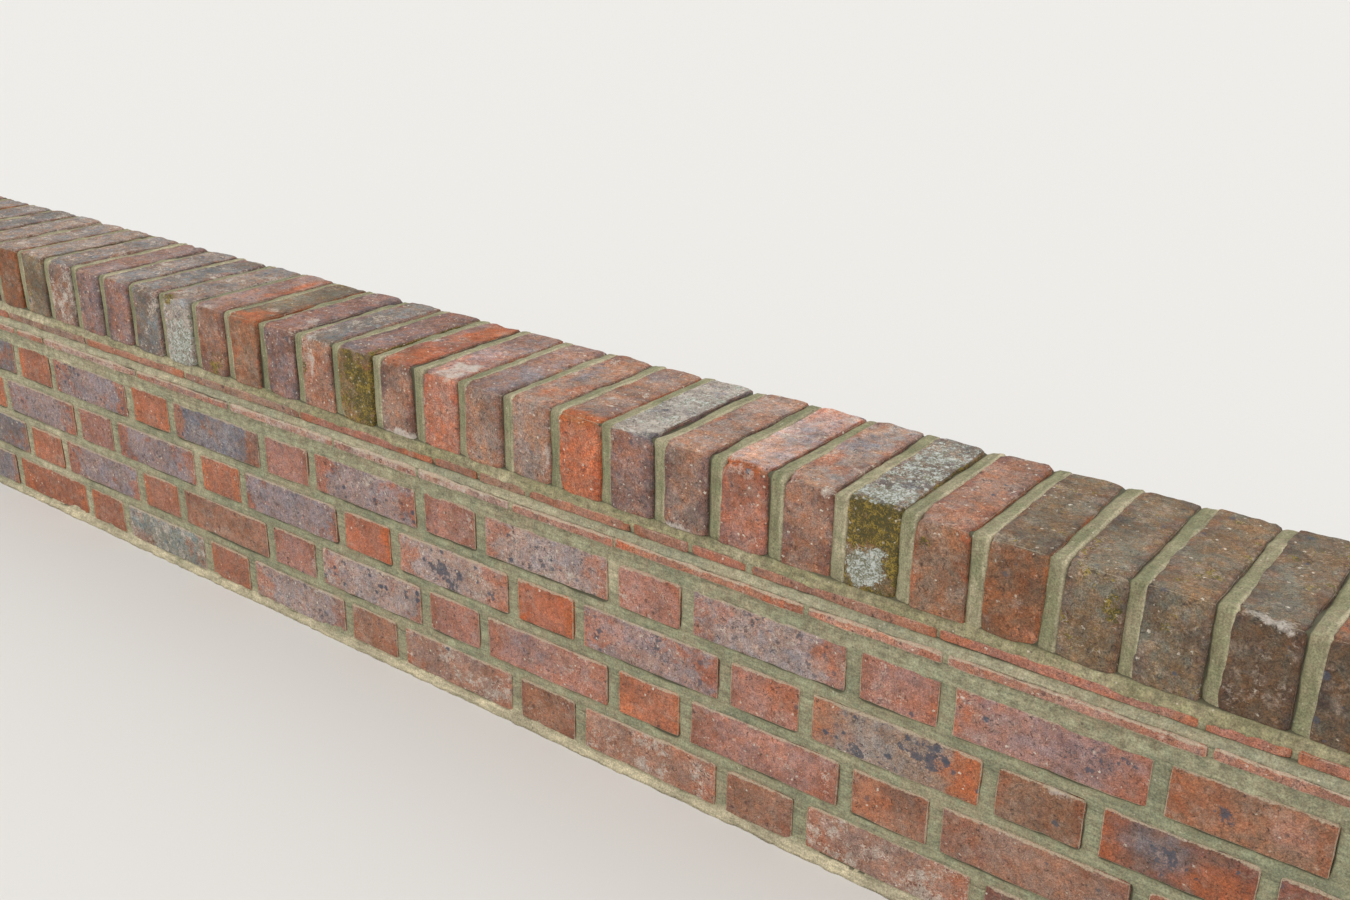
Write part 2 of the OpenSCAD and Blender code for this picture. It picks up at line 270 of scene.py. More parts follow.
def solids(node):
    """Lowest and highest corner of each separate solid of a CAD node, in millimetres, from left to right."""
    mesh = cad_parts[node].data
    points = np.empty(len(mesh.vertices) * 3)
    mesh.vertices.foreach_get("co", points)
    points, same = np.unique(np.round(points.reshape(-1, 3) / MM, 2), axis=0, return_inverse=True)
    edges = np.empty(len(mesh.edges) * 2, np.int32)
    mesh.edges.foreach_get("vertices", edges)
    ends = same.ravel()[edges.reshape(-1, 2)]
    group = np.arange(len(points))
    while True:
        lowest = np.minimum(group[ends[:, 0]], group[ends[:, 1]])
        joined = group.copy()
        np.minimum.at(joined, ends[:, 0], lowest)
        np.minimum.at(joined, ends[:, 1], lowest)
        joined = joined[joined]
        if (joined == group).all():
            break
        group = joined
    boxes = [(points[group == g].min(0), points[group == g].max(0)) for g in np.unique(group)]
    return sorted(boxes, key=lambda box: tuple(box[0]))


# Shares of an arris width at which its rings stand: 45, 30 and 15 degrees round the curve
ARC = (0, 0.423, 0.732)
# The sides of a block, in the order in which they are made
LEFT, RIGHT, STREET, GARDEN, BOTTOM, TOP = range(6)


def spread(half, low_arris, high_arris, step):
    """Places from -half to half: rings at each arris that has a width, and the rest step apart."""
    low = [-half + low_arris * share for share in ARC] if low_arris else []
    high = [half - high_arris * share for share in reversed(ARC)] if high_arris else []
    start, end = low_arris - half, half - high_arris
    count = max(1, round((end - start) / step))
    return np.array([*low, *np.linspace(start, end, count + 1), *high])


def rim_of(sheet):
    """The indices round the edge of a grid of indices, in the order that its cells turn."""
    return np.concatenate([sheet[:-1, 0], sheet[-1, :-1], sheet[:0:-1, -1], sheet[0, :0:-1]])


def block(places, flat=(), framed=()):
    """A closed block with a grid on each side. A flat side is one face, and a framed one keeps its grid only
    round the arrises. Returns points, quads and the larger faces."""
    index = np.full([len(p) for p in places], -1)
    outside = np.zeros(index.shape, bool)
    for axis in range(3):
        np.moveaxis(outside, axis, 0)[[0, -1]] = True
    index[outside] = np.arange(outside.sum())
    points = np.stack(np.meshgrid(*places, indexing="ij"), -1)[outside]
    inner = slice(len(ARC), -len(ARC))
    quads, caps = [], []
    for side in range(TOP + 1):
        axis, high = divmod(side, 2)
        sheet = np.take(index, -high, axis)
        if (axis == 1) != (high == 0):
            sheet = sheet.T
        if side in flat:
            caps.append(rim_of(sheet))
            continue
        cells = np.stack([sheet[:-1, :-1], sheet[1:, :-1], sheet[1:, 1:], sheet[:-1, 1:]], -1)
        if side in framed:
            kept = np.ones(cells.shape[:2], bool)
            kept[inner, inner] = False
            cells = cells[kept]
            caps.append(rim_of(sheet[inner, inner]))
        quads.append(cells.reshape(-1, 4))
    return points, np.concatenate(quads), caps


# What the columns of a brick's values are, three by three, under the names that its material reads
CLAY_VALUES = ("clay", "flash", "marks", "growth")


class Pile:
    """Many small closed solids gathered into one mesh, with the values that its material reads."""

    def __init__(self):
        self.points = []
        self.faces = []
        self.values = {}
        self.count = 0

    def add(self, points, quads, caps=(), **values):
        """Adds a solid, with three values at each point under each name."""
        self.points.append(points)
        self.faces.extend((quads + self.count).tolist())
        self.faces.extend((cap + self.count).tolist() for cap in caps)
        for name, value in values.items():
            self.values.setdefault(name, []).append(value)
        self.count += len(points)

    def add_clay(self, points, shape, half, place, values):
        """Adds a brick or tile that was worn from a block, with its place in the pattern of the clay."""
        lattice, quads, caps = shape
        columns = dict(zip(CLAY_VALUES, np.split(values, len(CLAY_VALUES), axis=1)))
        self.add(points, quads, caps, place=place * MM, rims=rims(lattice, half), **columns)

    def finish(self, name, material, nodes, slot):
        """Makes the mesh in metres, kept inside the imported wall's box, and lets it stand for CAD nodes."""
        points = np.clip(np.concatenate(self.points) * MM, np.array(CAD_LOW), np.array(CAD_HIGH))
        mesh = bpy.data.meshes.new(name)
        mesh.from_pydata(points, [], self.faces)
        for key, parts in self.values.items():
            whole = np.concatenate(parts).astype(np.float32)
            mesh.attributes.new(key, "FLOAT_VECTOR", "POINT").data.foreach_set("vector", whole.ravel())
        mesh.shade_smooth()
        mesh.materials.append(material)
        piece = bpy.data.objects.new(name, mesh)
        bpy.context.scene.collection.objects.link(piece)
        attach(piece, BODY)
        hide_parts(*nodes)


# The least that an arris is worn, as a share of its usual width, and the most of a half size that it takes up
LEAST_WEAR, MOST_ARRIS = 0.35, 0.8
# How much more uneven the tops, beds and ends of the bricks are than their faces
ROUGHER = 1.3


def worn(points, half, arris, place, chips, swell):
    """Rounds a block's arrises, more at chips, and makes its faces swell. Returns points and normals."""
    wear = 1 + 0.42 * noise(place, 26, 1) + 0.34 * noise(place, 9, 2)
    for spot, reach, depth in chips:
        away = np.linalg.norm((points - spot) * (1, 0.6, 1), axis=1)
        wear += depth * np.exp(-((away / reach) ** 2)) * (1 + 0.5 * noise(place, 5, 3))
    width = np.minimum(np.maximum(wear, LEAST_WEAR)[:, None] * arris, MOST_ARRIS * np.asarray(half))
    core = np.clip(points, width - half, half - width)
    out = (points - core) / width
    out /= np.linalg.norm(out, axis=1, keepdims=True)
    normals = out / width
    normals /= np.linalg.norm(normals, axis=1, keepdims=True)
    bumps = 0.5 * noise(place, 42, 4) + 0.28 * noise(place, 15, 5) + 0.16 * noise(place, 6, 6)
    bumps *= 1 + ROUGHER * (1 - np.abs(normals[:, 1]))
    return core + out * width + normals * (swell * bumps)[:, None], normals


def chips_on(rng, half, count, reach, depth, tops_only=False):
    """Random places along the arrises where a brick has lost a flake, each with its reach and depth."""
    found = []
    for _ in range(rng.poisson(count)):
        spot = rng.uniform(-1, 1, 3) * half
        kept = rng.integers(3)
        for axis in range(3):
            if axis != kept:
                spot[axis] = half[axis] * (1 if tops_only and axis == 2 else rng.choice([-1, 1]))
        found.append((spot, rng.uniform(0.5, 1.2) * reach, rng.uniform(0.3, 1) * depth))
    return found


def corner_chips(rng, half, reach, depth):
    """Wear at each of the eight corners, between the least and the most reach and depth."""
    corners = product((-1, 1), repeat=3)
    return [(corner * half, rng.uniform(*reach), rng.uniform(*depth)) for corner in corners]


def turned(points, tilt, yaw):
    """Points turned by small angles in the face of the wall and in plan."""
    return points @ np.array(Matrix.Rotation(yaw, 3, "Z") @ Matrix.Rotation(tilt, 3, "Y")).T


def rims(points, half):
    """How far each point is from the nearest arris and from the nearest arris of the top, in metres, and how
    far it is from the middle of the brick's length, from 0 to 1."""
    gaps = np.asarray(half) - np.abs(points)
    top = np.maximum(half[2] - points[:, 2], gaps[:, :2].min(1))
    return np.c_[np.sort(gaps, axis=1)[:, 1] * MM, top * MM, np.abs(points[:, 0]) / half[0]]


# How much lighter or darker, and how much warmer or cooler, one brick may be than its finish
LIGHTER, WARMER = 0.08, 0.04
# Each brick is cut from a place of its own in the pattern of the clay, within this many millimetres
PATTERN_REACH = 9000


def clay_values(finish, rng):
    """The values of one brick: its body and flashed colour, and the shares of its marks and growth."""
    body, flash, iron, salts, flecks, bloom, moss, lichen = finish
    light, warm = rng.uniform(1 - LIGHTER, 1 + LIGHTER), rng.uniform(-WARMER, WARMER)
    tint = np.array([light * (1 + warm), light, light * (1 - warm)])
    return np.array([*linear(body) * tint, *linear(flash) * tint, iron, salts, flecks, moss, lichen, bloom])


# Column of a brick's values that each kind of mark changes, or the colour to which it turns the clay
MARK_COLUMNS = {"iron": 6, "salts": 7, "moss": 9, "lichen": 10}
MARK_COLOURS = {
    "spall": "#bd8264",
    "flash": "#b26338",
    "mauve": "#7e7474",
    "burnt": "#664a3c",
    "salmon": "#c08d7c",
}


def mark(values, lattice, half, place, kind, spot, reach, share):
    """Adds one mark to the values of a brick, ragged at its edge."""
    away = np.linalg.norm((lattice - np.array(spot) * half) / reach, axis=1)
    ragged = 0.36 * noise(place, 13, 33) + 0.28 * noise(place, 7, 34)
    near = share * (1 - ease(0.5, 1.25, away + ragged))
    if kind in MARK_COLOURS:
        shares = near[:, None].clip(0, 1)
        values[:, 0:6] = (1 - shares) * values[:, 0:6] + shares * np.array(linear(MARK_COLOURS[kind]) * 2)
    else:
        column = MARK_COLUMNS[kind]
        values[:, column] = np.maximum(values[:, column], near)
    if kind == "lichen":
        values[:, MARK_COLUMNS["moss"]] *= 1 - np.clip(near, 0, 1)


# How near to a face of the wall a solid must come to show there, in millimetres
NEAR = 1
# How bricks and tiles lie: spreads of their small angles in degrees, and of a brick's slips in mm along,
# across and up
BRICK_TILT, TILE_TILT, COPING_TILT = 0.18, 0.15, 0.45
BRICK_SLIP = (0.6, 0.35, 0.6)


def tilts(rng, degrees):
    """Two random small angles, in the face of the wall and in plan."""
    return rng.normal(0, math.radians(degrees), 2)


def shown_block(centre, half, arris, step, rise):
    """A block with arrises where it shows on the street and garden sides. Its points are step apart along,
    across too at the ends of the wall, and rise apart upwards."""
    street = centre[1] - half[1] < NEAR - HALF_WIDTH
    garden = centre[1] + half[1] > HALF_WIDTH - NEAR
    at_end = abs(centre[0]) + half[0] > HALF_LENGTH - NEAR
    places = (
        spread(half[0], arris[0], arris[0], step),
        spread(half[1], arris[1] * street, arris[1] * garden, step if at_end else 4 * HALF_WIDTH),
        spread(half[2], arris[2], arris[2], rise),
    )
    flat = [side for side, shown in ((STREET, street), (GARDEN, garden)) if not shown]
    return block(places, flat, (BOTTOM, TOP) if at_end else ())


def lay_brick(pile, low, high, finish, marks, rng, step, arris, swell):
    """One brick of a course, worn where it shows, in the place of a CAD solid."""
    centre, half = (low + high) / 2, (high - low) / 2
    shape = shown_block(centre, half, arris, step, step)
    lattice = shape[0]
    place = lattice + rng.uniform(0, PATTERN_REACH, 3)
    chips = chips_on(rng, half, count=4, reach=6.5, depth=1.3)
    points, _ = worn(lattice, half, arris, place, chips, swell)
    points = turned(points, *tilts(rng, BRICK_TILT))
    points = points + centre + rng.normal(0, 1, 3) * BRICK_SLIP
    values = np.tile(clay_values(finish, rng), (len(points), 1))
    for found in marks:
        mark(values, lattice, half, place, *found)
    pile.add_clay(points, shape, half, place, values)


# Millimetres by which mortar laps over a brick where there is no brick near
NO_SEAM = -8.0
# Height below the line between two courses at which the pointing of the lower one takes over
TURNOVER = 12
# Radius in millimetres of the corners that the pointing leaves of a brick's face
CORNER = 7.0
# How far the pointing runs on behind a brick's edge, how far it stops short of the wall's corners, and how
# deep it goes at the wall's ends, in millimetres
POINTING_BEHIND, POINTING_SHORT, END_DEPTH = 6, 3, 16
# How far from the corners of the wall the pointing starts to round off, and how far back it goes there
ROUNDED, ROUNDED_BACK = 5, 4


def joint_inside(across, up, spans):
    """How far each point of a grid is inside a brick of the wall's face; less than 0 in a joint.
    Also how far across its upright joint each column is, from 0 at the left to 1."""
    inside = np.full((len(across), len(up)), -99.0)
    side = np.zeros_like(inside)
    for j, height in enumerate(up):
        course = min(int(height // COURSE_HEIGHT), COURSES - 1)
        local = height - course * COURSE_HEIGHT
        starts, ends = spans[course]
        rows = min(local - BRICK_LOW, BRICK_HIGH - local)
        gaps = np.minimum(across[:, None] - starts, ends - across[:, None]).max(1)
        inside[:, j] = CORNER - np.hypot(np.maximum(CORNER - gaps, 0), max(CORNER - rows, 0))
        if len(starts) > 1:
            nearest = np.abs(across[:, None] - (starts[1:] + ends[:-1]) / 2).argmin(1)
            side[:, j] = np.clip((across - ends[nearest]) / (starts[nearest + 1] - ends[nearest]), 0, 1)
    return inside, side


def joint_depth(across, up, points, spans, edge, sizes):
    """Depth of the pointing behind the wall's face on a grid, how far inside the bricks each point is, and
    how far over a shaded and over a lit edge of brick it laps. A bed is struck back at its top and flush over
    the arris below it."""
    inside, side = joint_inside(across, up, spans)
    flush, struck = sizes.bed_flush / MM, sizes.bed_struck / MM
    local = (up + TURNOVER) % COURSE_HEIGHT - TURNOVER
    bed = flush + (struck - flush) * np.clip((local - BED_LOW) / (BRICK_LOW - BED_LOW), 0, 1) ** 2.5
    upright = flush + (struck - flush) * (0.55 - 0.45 * side)
    in_bed = 1 - ease(0, 5, np.maximum(BED_LOW - local, local - BRICK_LOW))
    depth = in_bed * bed + (1 - in_bed) * upright
    bumps = 0.42 * noise(points, 55, 11) + 0.34 * noise(points, 17, 12) + 0.24 * noise(points, 6.5, 13)
    lap = (1.3 * noise(points, 38, 14) + 1.2 * noise(points, 12, 15)).reshape(depth.shape)
    depth = depth + bumps.reshape(depth.shape) + 3.6 * ease(-1.0, 2.6, inside + lap)
    gap = np.clip(edge - np.abs(across), 0, ROUNDED)
    depth = depth + (ROUNDED_BACK * (1 - np.sqrt(1 - ((ROUNDED - gap) / ROUNDED) ** 2)))[:, None]
    # The seams on a brick's shaded side carry the mortar's painted shade and painted shadow line, and those
    # on its lit side its pale lime
    middle = (BED_LOW + BRICK_LOW) / 2
    shaded = np.where(in_bed > 0.5, local > middle, side < 0.5)
    lit = (in_bed > 0.5) & (local <= middle) & (side >= 0)
    reach = 2.0 + in_bed + (1.5 * noise(points, 45, 16)).reshape(depth.shape)
    seam = np.maximum(inside + lap + reach, NO_SEAM)
    edges = np.stack([np.where(shaded, seam, NO_SEAM), np.where(lit, seam, NO_SEAM)], -1)
    return depth, inside, edges.reshape(-1, 2)


def nodes_to_cells(marked):
    """The cells of a grid that have a marked point at any corner."""
    return marked[:-1, :-1] | marked[1:, :-1] | marked[1:, 1:] | marked[:-1, 1:]


def sheet(across, up, front, inside, faces):
    """A closed solid between two uneven faces, over the cells of a grid where the pointing runs on behind a
    brick or stands out in front. Its points are across, depth and up, and come with their places in the grids
    of the two faces, one after the other."""
    kept = nodes_to_cells((inside < POINTING_BEHIND) | (front < 0))
    flat_across, flat_up = (a.ravel() for a in np.meshgrid(across, up, indexing="ij"))
    count = len(flat_across)
    ids = np.arange(count).reshape(len(across), len(up))
    a, b, c, d = ids[:-1, :-1], ids[1:, :-1], ids[1:, 1:], ids[:-1, 1:]
    quads = [np.stack([a, b, c, d], -1)[kept]]
    quads.append(quads[0][:, ::-1] + count)
    padded = np.pad(kept, 1)
    for shift, (p, q) in (((0, 1), (b, a)), ((0, -1), (d, c)), ((1, 0), (a, d)), ((-1, 0), (c, b))):
        rim = kept & ~np.roll(padded, shift, (0, 1))[1:-1, 1:-1]
        quads.append(np.stack([p[rim], q[rim], q[rim] + count, p[rim] + count], -1))
    points = np.concatenate([np.c_[flat_across, face.ravel(), flat_up] for face in faces])
    used, quads = np.unique(np.concatenate(quads), return_inverse=True)
    return points[used], quads.reshape(-1, 4), used


def quarter(points, turn):
    """Points turned about the upright axis by quarters of a turn."""
    cos, sin = ((1, 0), (0, 1), (-1, 0), (0, -1))[turn]
    x, y, z = points.T
    return np.c_[cos * x - sin * y, sin * x + cos * y, z]


def pointed_face(course, across, up, turn, spans, sizes):
    """Depths, insides and edges of a course's joints on a grid of one face of the wall, with the smear at its
    foot: turn 0 is the street, 1 the right end, 2 the garden and 3 the left end."""
    reach, edge = (HALF_LENGTH, HALF_WIDTH) if turn % 2 else (HALF_WIDTH, HALF_LENGTH)
    grid = np.stack(np.meshgrid(across, [-reach], up, indexing="ij"), -1).reshape(-1, 3)
    grid = quarter(grid, turn)
    depth, inside, edges = joint_depth(-across if turn == 2 else across, up, grid, spans, edge, sizes)
    if course == 0:
        smear = foot_smear(grid, up, depth.shape)
        edges[(smear < depth).ravel()] = NO_SEAM
        depth = np.minimum(depth, smear)
    return depth, inside, edges


def point_course(pile, course, spans, end_spans, sizes):
    """The bed and upright joints of one course, on both faces and at the stopped ends."""
    low = course * COURSE_HEIGHT
    bottom = low - TURNOVER if course else 0
    top = BRICKWORK_TOP if course == COURSES - 1 else low + COURSE_HEIGHT - TURNOVER
    up = np.linspace(bottom, top, round((top - bottom) / sizes.joint_rows * MM) + 1)
    step = sizes.joint_step / MM
    across, ends = (
        np.linspace(POINTING_SHORT - half, half - POINTING_SHORT, round(2 * half / step) + 1)
        for half in (HALF_LENGTH, HALF_WIDTH)
    )
    front, inside, edges = pointed_face(course, across, up, 0, spans, sizes)
    back, _, back_edges = pointed_face(course, across, up, 2, spans, sizes)
    back_edges = back_edges.reshape(len(across), -1, 2)[::-1].reshape(-1, 2)
    points, quads, used = sheet(across, up, front, inside, (front - HALF_WIDTH, HALF_WIDTH - back[::-1]))
    pile.add(points, quads, edges=np.c_[np.r_[edges, back_edges][used], lime_share(points, course)])
    for turn in (1, 3):
        front, inside, edges = pointed_face(course, ends, up, turn, end_spans, sizes)
        inner = np.full(front.shape, END_DEPTH - HALF_LENGTH)
        points, quads, used = sheet(ends, up, front, inside, (front - HALF_LENGTH, inner))
        points = quarter(points, turn)
        pile.add(points, quads, edges=np.c_[np.r_[edges, edges][used], lime_share(points, course)])


def foot_smear(points, up, shape):
    """Depth of the mortar smeared along the foot, which stands out from the bricks in lumps."""
    flat = points * (1, 1, 0)
    height = 14 + 10 * noise(flat, 150, 21) + 9 * noise(flat, 31, 22)
    height = (height + 7 * noise(points, 12, 26)).reshape(shape)
    lumps = (1.4 * noise(points, 15, 23) + 1.1 * noise(points, 7, 24)).reshape(shape)
    share = 1 - up / np.maximum(height, 2)
    return -5.5 * np.maximum(share, 0) ** 1.4 - lumps * ease(0, 0.3, share) + 4 * (share <= 0)


def buff_share(points):
    """How much paler and more buff the mortar gets towards the left end."""
    return 0.3 * ease(0, 900, -points[:, 0])


def lime_share(points, course):
    """How much pale lime shows in a course's mortar: all of it in the smear along the foot."""
    patches = 0.45 * ease(0.1, 0.8, noise(points, 240, 25)) + buff_share(points)
    if course:
        return patches
    return np.maximum(0.9 * (1 - ease(6, 26, points[:, 2] + 8 * noise(points, 40, 27))), patches)


# Sizes in millimetres of the unevenness of the trowelled beds
SKIRT_SIZES = (60, 19, 7)


def skirt(pile, levels, step, corner, bumps, sag, seed, lime, seam):
    """A bed of mortar all round the wall, from pairs of height and distance out past the brickwork. Bumps are
    how uneven it is over each of SKIRT_SIZES. Its lower edge sags and rises by about sag, and its colour
    takes a painted shade from about the height seam up to its top."""
    sides = []
    for turn, (reach, width) in enumerate(((HALF_LENGTH, HALF_WIDTH), (HALF_WIDTH, HALF_LENGTH)) * 2):
        across = spread(reach, corner, corner, step)[:-1]
        sides.append(quarter(np.c_[across, np.full(len(across), -width), np.zeros(len(across))], turn))
    loop = np.concatenate(sides)
    limit = np.array([HALF_LENGTH - corner, HALF_WIDTH - corner, 0])
    core = np.clip(loop, -limit, limit)
    out = (loop - core) / np.linalg.norm(loop - core, axis=1, keepdims=True)
    rings = []
    for place, (height, reach) in enumerate(levels):
        ring = core + out * (corner + reach)
        lower = 1 - place / (len(levels) - 1)
        ring[:, 2] = height + sag * lower * (noise(ring, 48, seed + 6) + 0.6 * noise(ring, 15, seed + 7))
        sway = sum(bumps[k] * noise(ring, size, seed + k) for k, size in enumerate(SKIRT_SIZES))
        rings.append(ring + out * sway[:, None])
    ids = np.arange(len(loop) * len(rings)).reshape(len(rings), len(loop))
    nexts = np.roll(ids, -1, axis=1)
    quads = np.stack([ids[:-1], nexts[:-1], nexts[1:], ids[1:]], -1).reshape(-1, 4)
    points = np.concatenate(rings)
    # Painted shade: the mortar darkens towards its top, under the tile or brick that stands over it
    shaded = np.maximum(points[:, 2] - seam + 1.2 * noise(points, 15, seed + 4), NO_SEAM)
    limy = lime * ease(-0.5, 0.7, noise(points, 90, seed + 3)) + buff_share(points)
    edges = np.c_[shaded, np.full(len(points), NO_SEAM), limy]
    pile.add(points, quads, [ids[0][::-1], ids[-1]], edges=edges)


# The least and the most that a tile's end stands back from the CAD tile's, in millimetres
TILE_GAP = (-0.9, 1.8)
# How far the joints between tiles run on behind the tiles' ends, and how far they are pressed in
TILE_LAP, TILE_RECESS = TILE_GAP[1] + 1.5, (0.8, 3.4)
# Widths of a tile's arrises along, across and up, and the distances between its points along and up
TILE_ARRIS, TILE_STEP, TILE_RISE = np.array([1.4, 1.6, 1.5]), 7, 3
# Unevenness of a tile's faces and of the joints between tiles, in millimetres
TILE_SWELL, TILE_JOINT_SWELL = 1.3, 0.8
# Finishes of the lower and of the upper course of tiles
TILE_FINISHES = (
    (
        ("#a97c68", "#a86f57", 0.05, 0.20, 0.30, 0.15, 0, 0),  # salmon
        ("#a8806d", "#a5725d", 0.05, 0.42, 0.30, 0.34, 0, 0),  # salmon, limy
        ("#a8775f", "#b36c4d", 0.10, 0.15, 0.25, 0.12, 0, 0),  # orange
    ),
    (
        ("#a1715a", "#a66a4c", 0.10, 0.05, 0.25, 0.14, 0, 0),  # orange-brown
        ("#9c7a65", "#a1725a", 0.10, 0.15, 0.25, 0.28, 0, 0),  # brown, dusty
        ("#aa705a", "#aa6a4c", 0.10, 0.05, 0.25, 0.12, 0, 0),  # orange
    ),
)


def lay_tile(pile, low, high, finishes, rng):
    """One creasing tile with chipped arrises, a little out of line with the next."""
    centre, half = (low + high) / 2, (high - low) / 2
    half[0] -= rng.uniform(*TILE_GAP)
    shape = shown_block(centre, half, TILE_ARRIS, TILE_STEP, TILE_RISE)
    lattice = shape[0]
    place = lattice + rng.uniform(0, PATTERN_REACH, 3)
    chips = chips_on(rng, half, count=6, reach=8, depth=1.6)
    chips += corner_chips(rng, half, reach=(3, 6), depth=(0, 0.8))
    points, _ = worn(lattice, half, TILE_ARRIS, place, chips, TILE_SWELL)
    points = turned(points, *tilts(rng, TILE_TILT))
    inward = rng.uniform(0, 1.0) * -np.sign(centre[1])
    points = points + centre + (rng.normal(0, 0.4), inward, rng.normal(0, 0.25))
    values = np.tile(clay_values(finishes[rng.integers(len(finishes))], rng), (len(points), 1))
    pile.add_clay(points, shape, half, place, values)


def fill_tile_joints(pile, boxes, rng):
    """The mortar in the tight joints between the tiles of one row, pressed in to uneven depths."""
    for (low, high), (next_low, next_high) in zip(boxes, boxes[1:]):
        centre = np.array([(high[0] + next_low[0]) / 2, (low[1] + high[1]) / 2, (low[2] + high[2]) / 2])
        half = np.array([next_low[0] - high[0], high[1] - low[1], high[2] - low[2]]) / 2
        half += (TILE_LAP, -rng.uniform(*TILE_RECESS), 0)
        places = tuple(np.linspace(-h, h, count) for h, count in zip(half, (4, 2, 5)))
        lattice, quads, caps = block(places, (LEFT, RIGHT, BOTTOM, TOP))
        place = lattice + rng.uniform(0, 900, 3)
        points, _ = worn(lattice, half, (1, 1.5, 1), place, [], TILE_JOINT_SWELL)
        # Painted shade: the whole joint takes some of the mortar's painted shade, sunk between the tiles
        pile.add(points + centre, quads, caps, edges=np.tile((0.0, NO_SEAM, 0.2), (len(points), 1)))


# Widths in millimetres of a coping brick's arrises along, across and up: worn at the top, less at the foot
COPING_ARRIS, COPING_FOOT_ARRIS = np.array([3.0, 7, 7]), (3.0, 3.4, 3.4)
# How many times as uneven as the bricks below the coping bricks are
COPING_SWELL = 1.5
# How far the joints between the coping bricks run on behind the bricks' edges
COPING_LAP = 4.5
# Widths of the arrises of those joints, and how uneven they are
COPING_JOINT_ARRIS, COPING_JOINT_SWELL = np.array([1, 7.5, 7.5]), 1.3


def set_coping_brick(pile, low, high, number, rng, step, swell):
    """One coping brick on edge. Its face and its top weather apart, and both top edges are worn round."""
    centre, half = (low + high) / 2, (high - low) / 2
    half[0] -= rng.uniform(0.2, 1.6)
    arris = COPING_ARRIS
    places = (
        spread(half[0], arris[0], arris[0], step),
        spread(half[1], arris[1], arris[1], step),
        spread(half[2], 4, arris[2], step),
    )
    shown = {
        LEFT: centre[0] - half[0] < NEAR - HALF_LENGTH,
        RIGHT: centre[0] + half[0] > HALF_LENGTH - NEAR,
    }
    shape = block(places, [BOTTOM], [side for side in shown if not shown[side]])
    lattice = shape[0]
    place = lattice + rng.uniform(0, PATTERN_REACH, 3)
    chips = chips_on(rng, half, count=3, reach=8, depth=1.0, tops_only=rng.random() < 0.5)
    chips += corner_chips(rng, half, reach=(5, 11), depth=(0.1, 1.3))
    chips += [(np.array(spot) * half, *rest) for brick, spot, *rest in COPING_CHIPS if brick == number]
    upper = ease(-half[2], half[2], lattice[:, 2])[:, None]
    arris = (1 - upper) * COPING_FOOT_ARRIS + upper * arris
    points, normals = worn(lattice, half, arris, place, chips, swell)
    points[:, 0] *= 1 + rng.normal(0, 0.015) * lattice[:, 2] / half[2]
    points = turned(points, *tilts(rng, COPING_TILT))
    points = points + centre + (rng.normal(0, 0.8), rng.normal(0, 0.7), -abs(rng.normal(0, 0.8)))
    upward = ease(0.45, 0.8, normals[:, 2] + 0.22 * noise(place, 14, 31))[:, None]
    face, top = (clay_values(COPING_FINISHES[row[number]], rng) for row in (COPING_FACES, COPING_TOPS))
    values = (1 - upward) * face + upward * top
    for brick, *found in COPING_MARKS:
        if brick == number:
            mark(values, lattice, half, place, *found)
    # Moss and lichen stand a little proud
    crust = 1.3 * values[:, 9:11].max(1).clip(0, 1) * ease(0, 0.8, noise(place, 6, 32) + 0.3)
    pile.add_clay(points + normals * crust[:, None], shape, half, place, values)


def fill_coping_joint(pile, low, high, rng, step, recess):
    """The joint between two coping bricks, pointed a little hollow and rounded over like them."""
    low = np.array([low[0] - COPING_LAP, recess - HALF_WIDTH, low[2] - 3])
    high = np.array([high[0] + COPING_LAP, HALF_WIDTH - recess, CAD_HIGH.z / MM - recess])
    centre, half = (low + high) / 2, (high - low) / 2
    arris = COPING_JOINT_ARRIS
    places = (
        np.linspace(-half[0], half[0], 9),
        spread(half[1], arris[1], arris[1], step),
        spread(half[2], 2, arris[2], step),
    )
    lattice, quads, caps = block(places, (LEFT, RIGHT, BOTTOM))
    place = lattice + centre
    points, normals = worn(lattice, half, arris, place, [], COPING_JOINT_SWELL)
    share = lattice[:, 0] / half[0]
    hollow = 0.5 * (1 - share**2) - rng.uniform(0.3, 1.0) * share
    hollow += 3.4 * (1 - ease(-0.85, -0.25, share + 0.22 * noise(place, 40, 44)))
    points = points - normals * hollow[:, None]
    points[:, 0] = lattice[:, 0]
    seam = np.abs(lattice[:, 0]) - half[0] + COPING_LAP
    seam = seam + 1.0 * noise(place, 14, 42) + 0.7 * noise(place, 6, 43)
    limy = 0.25 * ease(0.2, 0.8, noise(place, 120, 41))
    # Painted shade and a painted shadow line along the joint's left side, beside the brick on its left, and
    # pale lime along its right side
    edges = [np.where(share < 0, seam + 2.2, NO_SEAM), np.where(share > 0, seam + 0.5, NO_SEAM), limy]
    pile.add(points + centre, quads, caps, edges=np.stack(edges, -1))


# Finishes


def add(tree, kind, *inputs, **settings):
    """Adds a shader node. Settings are its options, or inputs by name with _ for a space; the other inputs go
    in by place. An input is a value, a socket, or a node whose first output is meant."""
    made = tree.nodes.new("ShaderNode" + kind)
    named = {}
    for name, value in settings.items():
        if name in made.bl_rna.properties:
            setattr(made, name, value)
        else:
            named[name.replace("_", " ")] = value
    sockets = [socket for socket in made.inputs if socket.enabled]
    pairs = list(zip(sockets, inputs))
    for name, value in named.items():
        pairs.append((next(s for s in sockets if s.name == name), value))
    for socket, value in pairs:
        if isinstance(value, bpy.types.Node):
            value = next(s for s in value.outputs if s.enabled)
        if isinstance(value, bpy.types.NodeSocket):
            tree.links.new(value, socket)
        elif value is not None:
            if socket.type == "RGBA" and len(value) == 3:
                value = (*value, 1)
            socket.default_value = value
    return made


